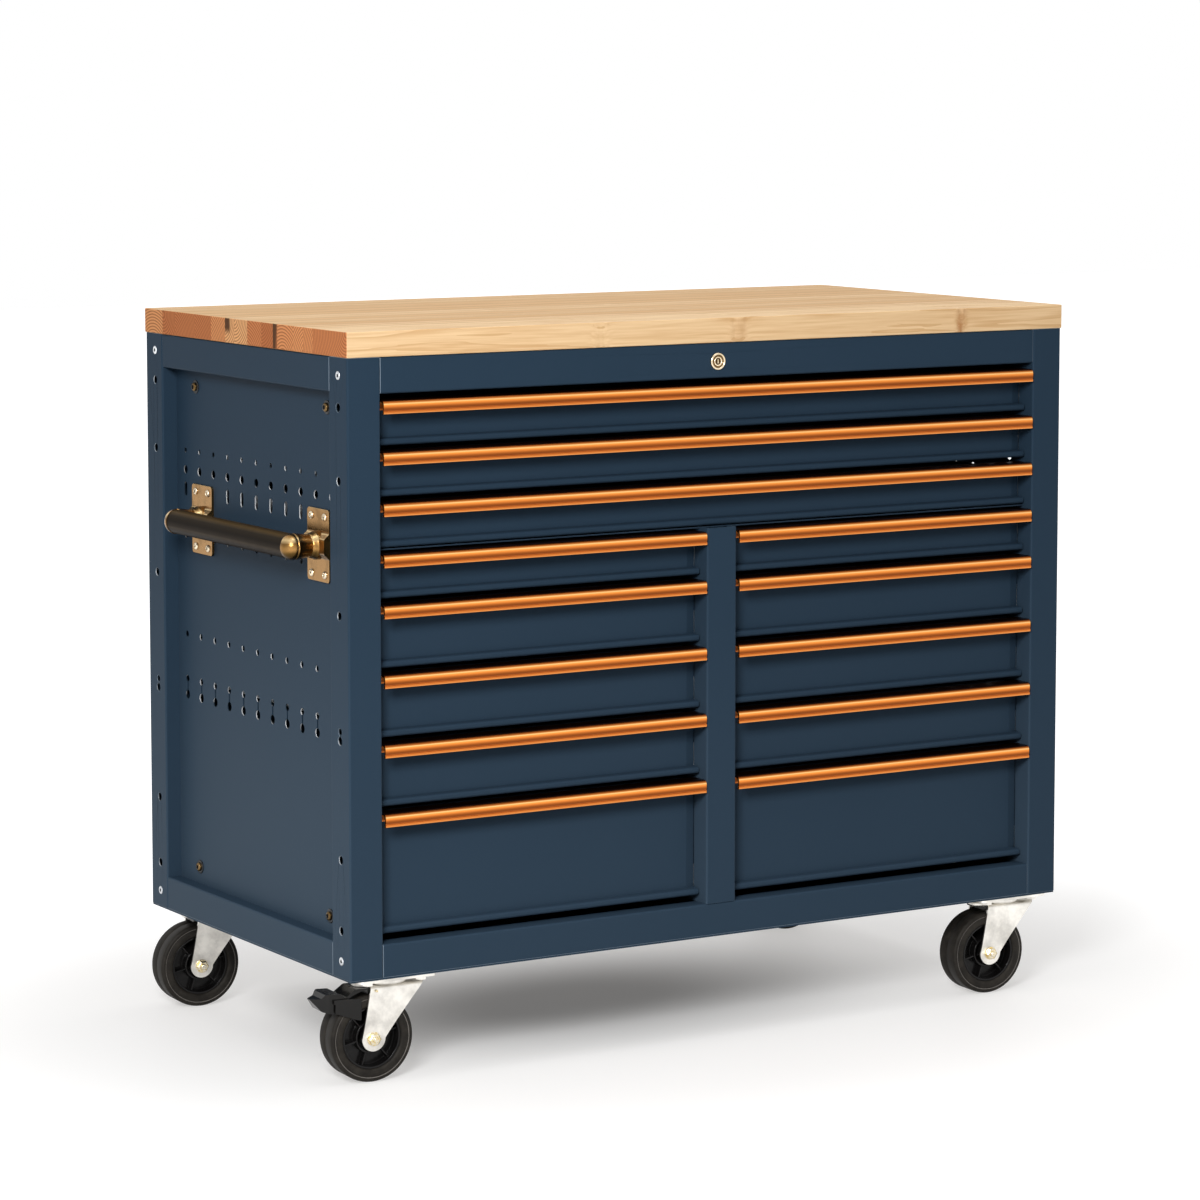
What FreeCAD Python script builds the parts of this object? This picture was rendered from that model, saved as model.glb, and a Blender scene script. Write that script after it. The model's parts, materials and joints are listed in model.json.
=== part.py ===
import FreeCAD
import Part
import math
import os

V = FreeCAD.Vector
os.makedirs("parts", exist_ok=True)

# Millimetres, +Z up, floor at z = 0, drawer fronts face -Y, push handle on the -X side.

# Body
body_width = 1043.0
body_depth = 547.0
body_height = 741.0
caster_height = 128.5
sheet = 1.2
base_sheet = 2.0

# Worktop
top_thickness = 30.5
top_overhang = 1.0
top_edge_round = 1.2

# Posts and rails
post_width = 44.0
post_depth = 46.5
post_wall = 1.6
post_round = 2.4
centre_width = 43.0
panel_recess = 20.0
rail_height = 43.5
low_rail_height = 42.0
rail_depth = 27.0
rail_wall = 1.5
rail_step = 0.6
back_recess = 3.0

# Drawer fronts
wide_rows = 3
thin_front = 54.6
medium_front = 77.0
front_gap = 5.9
top_gap = 7.9
low_gap = 9.5
side_gap = 2.5
front_recess = 24.5
bead_height = 7.8
bead_reach = 10.0
bevel_width = 12.0
bevel_depth = 2.6
drawer_room = 97.0

# Drawer slides
slide_space = 12.7
slide_height = 32.0
slide_wall = 1.5
slide_play = 0.15
slide_start = 30.0

# Pulls
pull_proud = 3.5
pull_height = 16.2
pull_nose = 9.0
pull_wall = 1.8

# Lock
lock_x = -7.0
lock_drop = 23.0
lock_bezel = 10.8
lock_body = 9.0
plug_radius = 6.0
plug_fit = 0.05
cam_reach = 36.0

# Side perforations, from the panel's front and rear edges
hole_columns = 10
hole_margin_front = 72.5
hole_margin_back = 24.5
edge_hole_margin = 17.0

# Side panel bolts, from the same edges
panel_bolt_front = 41.5
panel_bolt_back = 56.5

# Folded edges of the thin sheets
back_fold = 18.0
centre_fold = 16.0

# Push handle
tube_radius = 15.2
tube_wall = 2.0
tube_stand = 17.5
handle_z = 510.5
bracket_spacing = 316.0
bracket_shift = -7.2
bracket_width = 56.0
bracket_height = 88.0
bracket_wall = 3.0
bracket_rise = 7.0
bracket_flat = 15.0
bracket_slope = 6.0
bracket_corner = 5.0
elbow_radius = 16.0
elbow_lap = 1.0
neck_radius = 13.4
spigot_length = 18.0
screw_dy = 34.0
screw_dz = 69.5

# Casters
wheel_radius = 53.5
wheel_width = 37.5
core_radius = 38.0
hub_ring = 19.5
core_ribs = 6
tyre_corner = 3.6
axle_radius = 4.0
axle_fit = 0.05
caster_trail = 23.0
caster_turn = 3.5
caster_inset_x = 65.0
caster_inset_front = 40.0
caster_inset_back = 40.0
plate_x = 104.0
plate_y = 80.0
plate_thick = 3.0
race_radius = 29.0
race_height = 7.0
fork_wall = 2.6
fork_gap = 40.0
fork_disc = 41.0
swivel_play = 0.3
king_radius = 6.0
king_fit = 0.05

# Derived positions
handle_reach = tube_stand + elbow_radius
shift_x = (handle_reach - top_overhang) / 2.0
shift_y = (pull_proud - top_overhang) / 2.0
xl = shift_x - body_width / 2.0
xr = shift_x + body_width / 2.0
yf = shift_y - body_depth / 2.0
yb = shift_y + body_depth / 2.0
z0 = caster_height
zs = z0 + base_sheet
z1 = z0 + body_height
xc = (xl + xr) / 2.0
back_y = yb - back_recess - sheet
open_left = xl + post_width
open_right = xr - post_width
panel_front = yf + post_depth
panel_back = yb - post_depth
drawer_length = body_depth - drawer_room


def row_levels():
    # Top and bottom of every front row, from the top rail down.
    thin = 4
    medium = 3
    top = z1 - rail_height - top_gap
    rows = []
    for i in range(thin):
        rows.append((top, top - thin_front))
        top = top - thin_front - front_gap
    for i in range(medium):
        rows.append((top, top - medium_front))
        top = top - medium_front - front_gap
    rows.append((top, z0 + low_rail_height + low_gap))
    return rows


rows = row_levels()
centre_top = rows[wide_rows - 1][1] - 1.6


def drawer_list():
    # Name, left edge, right edge, top, bottom of each opening bay.
    out = []
    for i, (top, low) in enumerate(rows):
        if i < wide_rows:
            out.append(("wide_%d" % (i + 1), open_left, open_right, top, low))
        else:
            n = i - wide_rows + 1
            out.append(("left_%d" % n, open_left, xc - centre_width / 2.0, top, low))
            out.append(("right_%d" % n, xc + centre_width / 2.0, open_right, top, low))
    return out


drawers = drawer_list()


def box(x0, x1, y0, y1, za, zb):
    return Part.makeBox(x1 - x0, y1 - y0, zb - za, V(x0, y0, za))


def rod(radius, start, end):
    axis = end.sub(start)
    return Part.makeCylinder(radius, axis.Length, start, axis)


def ring(outer, inner, start, end):
    return rod(outer, start, end).cut(rod(inner, start, end))


def rounded_wire(points, radii, place):
    # Closed outline with a true arc at every corner that has a radius.
    n = len(points)
    edges = []
    ends = []
    for i in range(n):
        p = points[i]
        a = points[i - 1]
        b = points[(i + 1) % n]
        da = (a[0] - p[0], a[1] - p[1])
        db = (b[0] - p[0], b[1] - p[1])
        la = math.hypot(da[0], da[1])
        lb = math.hypot(db[0], db[1])
        ua = (da[0] / la, da[1] / la)
        ub = (db[0] / lb, db[1] / lb)
        cosine = max(-1.0, min(1.0, ua[0] * ub[0] + ua[1] * ub[1]))
        half = math.acos(cosine) / 2.0
        r = radii[i]
        if r <= 0.0 or half > math.pi / 2.0 - 0.02:
            ends.append((place(p[0], p[1]), None, place(p[0], p[1])))
            continue
        cut = min(r / math.tan(half), 0.48 * la, 0.48 * lb)
        r = cut * math.tan(half)
        mid = (ua[0] + ub[0], ua[1] + ub[1])
        lm = math.hypot(mid[0], mid[1])
        reach = r / math.sin(half) - r
        q = (p[0] + mid[0] / lm * reach, p[1] + mid[1] / lm * reach)
        start = (p[0] + ua[0] * cut, p[1] + ua[1] * cut)
        end = (p[0] + ub[0] * cut, p[1] + ub[1] * cut)
        ends.append((place(start[0], start[1]), place(q[0], q[1]), place(end[0], end[1])))
    for i in range(n):
        start, mid, end = ends[i]
        if mid is not None:
            edges.append(Part.Arc(start, mid, end).toShape())
        nxt = ends[(i + 1) % n][0]
        if end.sub(nxt).Length > 1e-6:
            edges.append(Part.LineSegment(end, nxt).toShape())
    return Part.Wire(edges)


def solid_section(points, radii, place, along):
    return Part.Face(rounded_wire(points, radii, place)).extrude(along)


def sheet_section(path, thick, inner, place, along):
    # Bent sheet: the path is one face, the other lies to its left by the thickness.
    n = len(path)
    side = []
    near = []
    far = []
    for i in range(n - 1):
        dx = path[i + 1][0] - path[i][0]
        dy = path[i + 1][1] - path[i][1]
        length = math.hypot(dx, dy)
        side.append((dx / length, dy / length))
    for i in range(n):
        if i == 0 or i == n - 1:
            d = side[0] if i == 0 else side[-1]
            far.append((path[i][0] - d[1] * thick, path[i][1] + d[0] * thick))
            near.append((0.0, 0.0))
            continue
        a = side[i - 1]
        b = side[i]
        turn = a[0] * b[1] - a[1] * b[0]
        dot = a[0] * b[0] + a[1] * b[1]
        k = thick / (1.0 + dot)
        far.append((path[i][0] + (-a[1] - b[1]) * k, path[i][1] + (a[0] + b[0]) * k))
        near.append((inner + thick, inner) if turn > 0 else (inner, inner + thick))
    points = list(path) + far[::-1]
    radii = [r[0] for r in near] + [r[1] for r in near][::-1]
    return solid_section(points, radii, place, along)


def joined(shapes):
    out = shapes[0]
    if len(shapes) > 1:
        out = shapes[0].multiFuse(shapes[1:])
    return out.removeSplitter()


def compound(shapes):
    return Part.makeCompound(shapes)


def save(name, shapes):
    shape = shapes[0] if len(shapes) == 1 else compound(shapes)
    shape.exportStep("parts/" + name + ".step")


# Heights above the body underside of the holes in the outer post faces
post_hole_levels = [0.080, 0.195, 0.588, 0.803, 0.920]
post_hole_radius = 5.2
post_key_level = 0.394
rivet_levels = [0.0305, 0.971]
rivet_radius = 3.0


def key_cut(x0, x1, y, z, top_radius, low_radius, slot, drop):
    upper = Part.makeCylinder(top_radius, x1 - x0, V(x0, y, z), V(1, 0, 0))
    lower = Part.makeCylinder(low_radius, x1 - x0, V(x0, y, z - drop), V(1, 0, 0))
    neck = box(x0, x1, y - slot / 2.0, y + slot / 2.0, z - drop, z)
    return joined([upper, lower, neck])


def post(x0, y0, width, depth, low, high):
    corners = [(x0, y0), (x0 + width, y0), (x0 + width, y0 + depth), (x0, y0 + depth)]
    w = post_wall
    inner = [(x0 + w, y0 + w), (x0 + width - w, y0 + w)]
    inner += [(x0 + width - w, y0 + depth - w), (x0 + w, y0 + depth - w)]
    at = lambda a, b: V(a, b, low)
    outer = solid_section(corners, [post_round] * 4, at, V(0, 0, high - low))
    core = solid_section(inner, [post_round - w] * 4, at, V(0, 0, high - low))
    return outer.cut(core)


def corner_posts():
    out = []
    for x0, face in ((xl, xl - 1.0), (xr - post_width, xr - post_wall - 1.0)):
        for y0 in (yf, yb - post_depth):
            y = y0 + post_depth / 2.0
            y = y - 3.0 if y0 > 0 else y
            tube = post(x0, y0, post_width, post_depth, zs, z1)
            cuts = []
            for level in post_hole_levels:
                z = z0 + level * body_height
                cuts.append(Part.makeCylinder(post_hole_radius, post_wall + 2, V(face, y, z), V(1, 0, 0)))
            for level in rivet_levels:
                z = z0 + level * body_height
                cuts.append(Part.makeCylinder(rivet_radius, post_wall + 2, V(face, y, z), V(1, 0, 0)))
            z = z0 + post_key_level * body_height
            cuts.append(key_cut(face, face + post_wall + 2, y, z + 6.0, 4.2, 5.2, 3.4, 11.0))
            out.append(tube.cut(compound(cuts)))
    return out


def post_rivets():
    out = []
    for x, outward in ((xl, -1.0), (xr, 1.0)):
        for y0 in (yf, yb - post_depth):
            y = y0 + post_depth / 2.0
            y = y - 3.0 if y0 > 0 else y
            for level in rivet_levels:
                z = z0 + level * body_height
                inner = V(x - outward * (post_wall + 1.5), y, z)
                shank = rod(rivet_radius, inner, V(x, y, z))
                face = V(x + outward * 0.9, y, z)
                head = rod(5.2, V(x, y, z), face)
                dimple = rod(1.6, V(x, y, z), face)
                out.append(joined([shank, head]).cut(dimple))
    return out


def front_rails():
    x0 = open_left
    run = V(open_right - open_left, 0, 0)
    at = lambda a, b: V(x0, yf + a, b)
    top = z1
    low = z1 - rail_height
    path = [(rail_depth, low), (rail_step, low), (rail_step, top), (rail_depth + 12.0, top)]
    upper = sheet_section(path[::-1], rail_wall, 1.2, at, run)
    hole = rod(lock_body, V(xc + lock_x, yf - 1, z1 - lock_drop), V(xc + lock_x, yf + 6, z1 - lock_drop))
    upper = upper.cut(hole)
    high = z0 + low_rail_height
    path = [(rail_step, zs), (rail_step, high), (rail_depth, high), (rail_depth, zs)]
    lower = sheet_section(path[::-1], rail_wall, 1.2, at, run)
    return [upper, lower]


def side_rails():
    out = []
    run = V(0, body_depth - 2 * post_depth, 0)
    for x, s in ((xl, 1.0), (xr, -1.0)):
        at = lambda a, b: V(x + s * a, yf + post_depth, b)
        inner = panel_recess
        low = z1 - rail_height + 1.0
        path = [(inner, low), (rail_step, low), (rail_step, z1), (inner, z1)]
        path = path[::-1]
        out.append(sheet_section(path, rail_wall, 1.2, at, run))
        high = z0 + low_rail_height + 1.0
        path = [(rail_step, zs), (rail_step, high), (inner, high)]
        path = path[::-1]
        out.append(sheet_section(path, rail_wall, 1.2, at, run))
    return out


def hole_face(y, z, radius):
    circle = Part.makeCircle(radius, V(0, y, z), V(1, 0, 0))
    return Part.Wire([circle])


def slot_wire(y, z, width, height):
    r = width / 2.0
    h = height / 2.0 - r
    a = Part.Arc(V(0, y - r, z + h), V(0, y, z + h + r), V(0, y + r, z + h)).toShape()
    b = Part.LineSegment(V(0, y + r, z + h), V(0, y + r, z - h)).toShape()
    c = Part.Arc(V(0, y + r, z - h), V(0, y, z - h - r), V(0, y - r, z - h)).toShape()
    d = Part.LineSegment(V(0, y - r, z - h), V(0, y - r, z + h)).toShape()
    return Part.Wire([a, b, c, d])


def key_wire(y, z, top_radius, low_radius, slot, drop):
    h = slot / 2.0
    ta = math.sqrt(top_radius ** 2 - h ** 2)
    la = math.sqrt(low_radius ** 2 - h ** 2)
    zl = z - drop
    a = Part.Arc(V(0, y - h, z - ta), V(0, y, z + top_radius), V(0, y + h, z - ta)).toShape()
    b = Part.LineSegment(V(0, y + h, z - ta), V(0, y + h, zl + la)).toShape()
    c = Part.Arc(V(0, y + h, zl + la), V(0, y, zl - low_radius), V(0, y - h, zl + la)).toShape()
    d = Part.LineSegment(V(0, y - h, zl + la), V(0, y - h, z - ta)).toShape()
    return Part.Wire([a, b, c, d])


perforation_levels = {"a": 0.8025, "b": 0.769, "c": 0.736, "d": 0.656, "e": 0.4855, "f": 0.408}
panel_bolt_levels = [0.0865, 0.9135]
panel_bolt_radius = 3.2


def handle_points():
    middle = (yf + yb) / 2.0 + bracket_shift
    return [middle - bracket_spacing / 2.0, middle + bracket_spacing / 2.0]


def under_bracket(y, z, margin):
    # True where a hole of that margin would run under a handle bracket's foot.
    across = bracket_width / 2.0 + margin
    up = bracket_height / 2.0 + margin
    level = abs(z - z0 - handle_z) < up
    return level and any(abs(y - yc) < across for yc in handle_points())


def panel_bolt_points():
    out = []
    for y in (panel_front + panel_bolt_front, panel_back - panel_bolt_back):
        for level in panel_bolt_levels:
            out.append((y, z0 + level * body_height))
    return out


def side_panel(x, s):
    # Flat field with every hole as an inner wire, then the two folded edges.
    y0 = panel_front
    y1 = panel_back
    corners = [V(0, y0, zs), V(0, y1, zs), V(0, y1, z1), V(0, y0, z1), V(0, y0, zs)]
    wires = [Part.makePolygon(corners)]
    level = lambda k: z0 + perforation_levels[k] * body_height
    pitch = (y1 - y0 - hole_margin_front - hole_margin_back) / (hole_columns - 1)
    for i in range(-1, hole_columns):
        y = y0 + hole_margin_front + i * pitch
        wires.append(hole_face(y, level("a"), 3.2))
        wires.append(hole_face(y, level("b"), 5.4))
        if i < 0:
            continue
        if s < 0 or not under_bracket(y, level("c"), 4.0):
            wires.append(slot_wire(y, level("c"), 8.0, 18.0))
        if s < 0 or not under_bracket(y, level("d"), -1.0):
            wires.append(hole_face(y, level("d"), 3.6))
        wires.append(hole_face(y, level("e"), 4.0))
        wires.append(key_wire(y, level("f"), 4.5, 5.8, 3.4, 20.5))
    y = y0 + edge_hole_margin
    for height in post_hole_levels[2:4]:
        wires.append(hole_face(y, z0 + height * body_height, 4.6))
    wires.append(key_wire(y, z0 + post_key_level * body_height + 5.0, 4.6, 5.2, 3.4, 10.0))
    for y, z in panel_bolt_points():
        wires.append(hole_face(y, z, panel_bolt_radius))
    if s > 0:
        for yc in handle_points():
            for dy in (-1, 1):
                for dz in (-1, 1):
                    y = yc + dy * screw_dy / 2.0
                    z = z0 + handle_z + dz * screw_dz / 2.0
                    wires.append(hole_face(y, z, 2.5))
    face = Part.makeFace(wires, "Part::FaceMakerBullseye")
    field = face.extrude(V(sheet * s, 0, 0))
    xp = x + s * panel_recess
    field.translate(V(xp, 0, 0))
    xa, xb = sorted((xp, x + s * (post_width - 4.0)))
    front = box(xa, xb, y0, y0 + sheet, zs, z1)
    back = box(xa, xb, y1 - sheet, y1, zs, z1)
    return joined([field, front, back])


def panel_bolts():
    # Button head on a wide flange outside, nut inside.
    out = []
    flange = 1.5
    button = 3.4
    for x, s in ((xl, 1.0), (xr, -1.0)):
        xp = x + s * panel_recess
        for y, z in panel_bolt_points():
            place = lambda a: V(xp - s * a, y, z)
            shank = rod(panel_bolt_radius, place(-9.0), place(0.0))
            seat = rod(8.6, place(0.0), place(flange))
            head = rod(5.6, place(flange), place(flange + button))
            socket = rod(2.6, place(flange + 1.2), place(flange + button))
            nut = ring(6.2, panel_bolt_radius, place(-sheet - 4.5), place(-sheet))
            out.append(joined([shank, seat, head.cut(socket), nut]))
    return out


def back_panel():
    x0 = open_left
    x1 = open_right
    fold = back_fold
    plate = box(x0, x1, back_y, back_y + sheet, zs, z1)
    low = box(x0, x1, back_y - fold, back_y, zs, zs + sheet)
    high = box(x0, x1, back_y - fold, back_y, z1 - sheet, z1)
    left = box(x0, x0 + sheet, back_y - fold, back_y, zs, z1)
    right = box(x1 - sheet, x1, back_y - fold, back_y, zs, z1)
    panel = joined([plate, low, high, left, right])
    notches = []
    for x, y in caster_bolt_points():
        if y > back_y - fold - caster_nut:
            notches.append(rod(caster_nut + 1.2, V(x, y, zs), V(x, y, zs + sheet)))
    return panel.cut(compound(notches))


def caster_places():
    # Name, swivel centre of each caster.
    return [
        ("front_left", xl + caster_inset_x, yf + caster_inset_front),
        ("front_right", xr - caster_inset_x, yf + caster_inset_front),
        ("rear_left", xl + caster_inset_x, yb - caster_inset_back),
        ("rear_right", xr - caster_inset_x, yb - caster_inset_back),
    ]


caster_bolt_x = 36.0
caster_bolt_y = 28.0
caster_bolt_radius = 4.0
caster_nut = 6.9


def caster_bolt_points():
    out = []
    for name, x, y in caster_places():
        for sx in (-1, 1):
            for sy in (-1, 1):
                out.append((x + sx * caster_bolt_x, y + sy * caster_bolt_y))
    return out


def base_panel():
    plate = box(xl + 1.0, xr - 1.0, yf + 1.0, yb - 1.0, z0, zs)
    holes = []
    for x, y in caster_bolt_points():
        holes.append(rod(caster_bolt_radius, V(x, y, z0 - 1), V(x, y, zs + 1)))
    return plate.cut(compound(holes))


def centre_frame():
    # Front and rear centre posts and the two thin cross rails over them.
    front = post(xc - centre_width / 2.0, yf, centre_width, post_depth, z0 + low_rail_height, centre_top)
    rear_y = yb - post_depth
    rear = post(xc - centre_width / 2.0, rear_y, centre_width, back_y - rear_y, zs + sheet, centre_top)
    out = [front, rear]
    for y0, y1, step in ((yf + 18.0, yf + post_depth, 0.0), (rear_y, back_y - sheet, sheet)):
        flat = box(open_left + step, open_right - step, y0, y1, centre_top - rail_wall, centre_top)
        out.append(flat)
    out[0] = front.cut(out[2])
    out[1] = rear.cut(out[3])
    return out


def centre_panel():
    y0 = yf + post_depth
    y1 = yb - post_depth
    plate = box(xc - sheet / 2.0, xc + sheet / 2.0, y0, y1, zs, centre_top)
    x1 = xc + centre_fold
    foot = box(xc, x1, y0, y1, zs, zs + sheet)
    front = box(xc, x1, y0, y0 + sheet, z0 + low_rail_height + 2.0, centre_top)
    back = box(xc, x1, y1 - sheet, y1, zs, centre_top)
    return joined([plate, foot, front, back])


def slide_centre(low):
    return low + 6.0 + slide_height / 2.0


def fixed_channel(x, s, zc):
    # Opens towards the drawer; the closed end is the drawer's rear stop.
    y0 = yf + slide_start
    y1 = yb - post_depth + 20.0
    h = slide_height / 2.0
    flange = slide_space - 1.7
    at = lambda a, b: V(x + s * a, y0, zc + b)
    path = [(flange, h), (0.0, h), (0.0, -h), (flange, -h)]
    channel = sheet_section(path, slide_wall, 0.8, at, V(0, y1 - y0, 0))
    ys = yf + slide_start + 1.0 + runner_length() + 0.2
    xa, xb = sorted((x + s * 0.5, x + s * flange))
    stop = box(xa, xb, ys, ys + 2.0, zc - h + 0.5, zc + h - 0.5)
    return joined([channel, stop])


def runner_length():
    return drawer_length - 12.0


def fixed_slides():
    out = []
    for name, x0, x1, top, low in drawers:
        zc = slide_centre(low)
        out.append(fixed_channel(x0, 1.0, zc))
        out.append(fixed_channel(x1, -1.0, zc))
    return out


def runner(x, s, zc):
    # Moving member, back to back with the tray wall, resting on the lower flange.
    y0 = yf + slide_start + 1.0
    h = slide_height / 2.0 - slide_wall - slide_play
    at = lambda a, b: V(x + s * a, y0, zc + b)
    path = [(3.0, -h), (slide_space, -h), (slide_space, h), (3.0, h)]
    return sheet_section(path, slide_wall, 0.8, at, V(0, runner_length(), 0))


def drawer_front(x0, x1, top, low):
    a = x0 + side_gap
    b = x1 - side_gap
    y = front_recess
    bend = low + bead_height
    at = lambda p, q: V(p, yf + q, bend)
    path = [(a, y + bevel_depth), (a + bevel_width, y), (b - bevel_width, y), (b, y + bevel_depth)]
    field = sheet_section(path, sheet, 1.0, at, V(0, 0, top - 1.0 - bend))
    at = lambda q, r: V(a, yf + q, r)
    nose = y - bead_reach
    outline = [(y, bend + 1.5), (nose, bend), (nose, low), (y + sheet, low), (y + sheet, bend + 1.5)]
    bead = solid_section(outline, [2.5, 3.3, 3.3, 0.0, 0.0], at, V(b - a, 0, 0))
    w = sheet
    hollow = [(y, bend + 0.2), (nose + w, bend - w), (nose + w, low + w), (y, low + w)]
    core = solid_section(hollow, [0.0, 2.1, 2.1, 0.0], at, V(b - a, 0, 0))
    bead = bead.cut(core)
    caps = []
    for x in (a, b - w):
        cap_at = lambda q, r: V(x, yf + q, r)
        caps.append(solid_section(outline, [2.5, 3.3, 3.3, 0.0, 0.0], cap_at, V(w, 0, 0)))
    lip = box(a + slide_space, b - slide_space, yf + y + 0.6, yf + y + 13.0, top - 1.0 - w, top - 1.0)
    return [field, bead, lip] + caps


def tray(x0, x1, top, low):
    a = x0 + slide_space
    b = x1 - slide_space
    y0 = yf + front_recess + 0.6
    y1 = yf + slide_start + drawer_length - 4.0
    floor = low + 2.4
    rim = top - 10.0
    outer = box(a, b, y0, y1, floor, rim)
    inner = box(a + sheet, b - sheet, y0 - 1.0, y1 - sheet, floor + sheet, rim + 1.0)
    return outer.cut(inner)


def drawer(name, x0, x1, top, low):
    shapes = drawer_front(x0, x1, top, low) + [tray(x0, x1, top, low)]
    body = joined(shapes)
    if name == "wide_1":
        body = lock_catch(body, top)
    zc = slide_centre(low)
    return [body, runner(x0, 1.0, zc), runner(x1, -1.0, zc)]


cam_y = front_recess + 5.6
cam_thick = 2.5
cam_width = 12.0


def lock_catch(body, top):
    # A notch in the folded top edge lets the cam drop in front of a lip.
    x = xc + lock_x
    y0 = yf + cam_y - 1.6
    y1 = yf + cam_y + cam_thick + 1.6
    depth = z1 - lock_drop - (top - 1.0)
    swing = math.sqrt((cam_reach + cam_width / 2.0) ** 2 - depth ** 2)
    slot = box(x - cam_width, x + swing + 2.0, y0, y1, top - 4.0, top)
    lip = box(x - swing - 4.0, x + swing + 4.0, y1, y1 + sheet, top - 12.0, top - 1.0)
    return body.cut(slot).fuse(lip).removeSplitter()


def pull(x0, x1, top):
    a = x0 + side_gap
    run = V(x1 - x0 - 2 * side_gap, 0, 0)
    at = lambda q, r: V(a, yf + q, r)
    f = -pull_proud
    y = front_recess
    low = top - pull_height
    w = pull_wall
    outer = [(y, low + 3.0), (y, top), (f, top), (f, low + 5.2), (f + 0.8, low + 4.6)]
    outer += [(f + 0.8, low + 3.9), (f, low + 3.3), (f, low), (f + 4.2, low), (f + 4.2, low + w)]
    outer += [(f + w + 0.8, low + w), (f + w + 0.8, top - w), (y - w, top - w), (y - w, low + 3.0)]
    radii = [0.0, 0.6, pull_nose, 0.0, 0.2, 0.2, 0.0, 1.2, 0.5, 0.5, 0.8, pull_nose - w - 0.6, 0.8, 0.0]
    return solid_section(outer, radii, at, run)


def lock_barrel():
    x = xc + lock_x
    z = z1 - lock_drop
    y = yf + rail_step
    bore = plug_radius + plug_fit
    bezel = rod(lock_bezel, V(x, y - 2.6, z), V(x, y, z))
    groove = ring(lock_bezel - 1.8, plug_radius + 1.6, V(x, y - 2.6, z), V(x, y - 1.6, z))
    barrel = rod(lock_body, V(x, y, z), V(x, y + 22.0, z))
    nut = ring(12.5, lock_body, V(x, y + rail_wall, z), V(x, y + rail_wall + 4.0, z))
    hole = rod(bore, V(x, y - 4.0, z), V(x, y + 24.0, z))
    body = joined([bezel.cut(groove), barrel]).cut(hole)
    return [body, nut]


def lock_plug():
    # Keyed core with its cam; at rest the cam lies level, above the drawer.
    x = xc + lock_x
    z = z1 - lock_drop
    y = yf + rail_step
    end = yf + cam_y + cam_thick
    core = rod(plug_radius, V(x, y - 2.2, z), V(x, end, z))
    key = box(x - 0.9, x + 0.9, y - 2.3, y + 3.0, z - 4.2, z + 4.2)
    collar = rod(plug_radius + 1.6, V(x, y + 22.3, z), V(x, end, z))
    cam = box(x, x + cam_reach, yf + cam_y, end, z - cam_width / 2.0, z + cam_width / 2.0)
    tip = rod(cam_width / 2.0, V(x + cam_reach, yf + cam_y, z), V(x + cam_reach, end, z))
    return [joined([core.cut(key), collar, cam, tip])]


def handle_bracket(yc):
    # Cast foot with a raised middle; a short neck on it carries the ball that closes the tube.
    zc = z0 + handle_z
    xp = xl + panel_recess
    half = bracket_height / 2.0
    side = bracket_width / 2.0
    mid = bracket_flat - bracket_slope
    w = bracket_wall
    peak = bracket_wall + bracket_rise
    at = lambda a, b: V(xp - a, yc - side, zc + b)
    path = [(0.0, half), (w, half), (w, bracket_flat), (peak, mid)]
    path += [(peak, -mid), (w, -bracket_flat), (w, -half), (0.0, -half)]
    foot = solid_section(path, [0.0, 1.0, 4.0, 4.0, 4.0, 4.0, 1.0, 0.0], at, V(0, bracket_width, 0))
    face = lambda a, b: V(xp - peak - 1.0, yc + a, zc + b)
    corners = [(-side, -half), (side, -half), (side, half), (-side, half)]
    foot = foot.common(solid_section(corners, [bracket_corner] * 4, face, V(peak + 2.0, 0, 0)))
    s = 1.0 if yc < (yf + yb) / 2.0 else -1.0
    centre = V(xl - tube_stand, yc, zc)
    along = lambda a: centre.add(V(0, s * a, 0))
    neck = rod(neck_radius, centre, V(xp - 0.5, yc, zc))
    neck = neck.cut(rod(tube_radius + 0.1, along(elbow_lap), along(elbow_radius + 2.0)))
    collar = rod(neck_radius + 1.4, V(xp - peak - 4.0, yc, zc), V(xp - peak + 1.0, yc, zc))
    collar = collar.cut(rod(tube_radius + 0.1, along(elbow_lap), along(elbow_radius + 2.0)))
    ball = Part.makeSphere(elbow_radius, centre)
    ball = ball.cut(rod(elbow_radius + 1.0, along(elbow_lap), along(elbow_radius + 2.0)))
    spigot = rod(tube_radius - tube_wall, centre, along(elbow_lap + spigot_length))
    holes = []
    for dy in (-1, 1):
        for dz in (-1, 1):
            y = yc + dy * screw_dy / 2.0
            z = zc + dz * screw_dz / 2.0
            holes.append(rod(2.5, V(xp - peak, y, z), V(xp + 1.0, y, z)))
    body = joined([foot, neck, collar, ball, spigot])
    return body.cut(compound(holes))


def handle_tube():
    xa = xl - tube_stand
    zc = z0 + handle_z
    y0, y1 = handle_points()
    return ring(tube_radius, tube_radius - tube_wall, V(xa, y0 + elbow_lap, zc), V(xa, y1 - elbow_lap, zc))


def handle_screws():
    out = []
    xp = xl + panel_recess
    face = xp - bracket_wall
    for yc in handle_points():
        for dy in (-1, 1):
            for dz in (-1, 1):
                y = yc + dy * screw_dy / 2.0
                z = z0 + handle_z + dz * screw_dz / 2.0
                head = rod(4.8, V(face - 2.4, y, z), V(face, y, z))
                socket = rod(2.0, V(face - 2.4, y, z), V(face - 1.0, y, z))
                shank = rod(2.5, V(face, y, z), V(xp + sheet + 7.0, y, z))
                nut = rod(4.6, V(xp + sheet, y, z), V(xp + sheet + 4.0, y, z))
                out.append(joined([head.cut(socket), shank, nut]))
    return out


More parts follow.
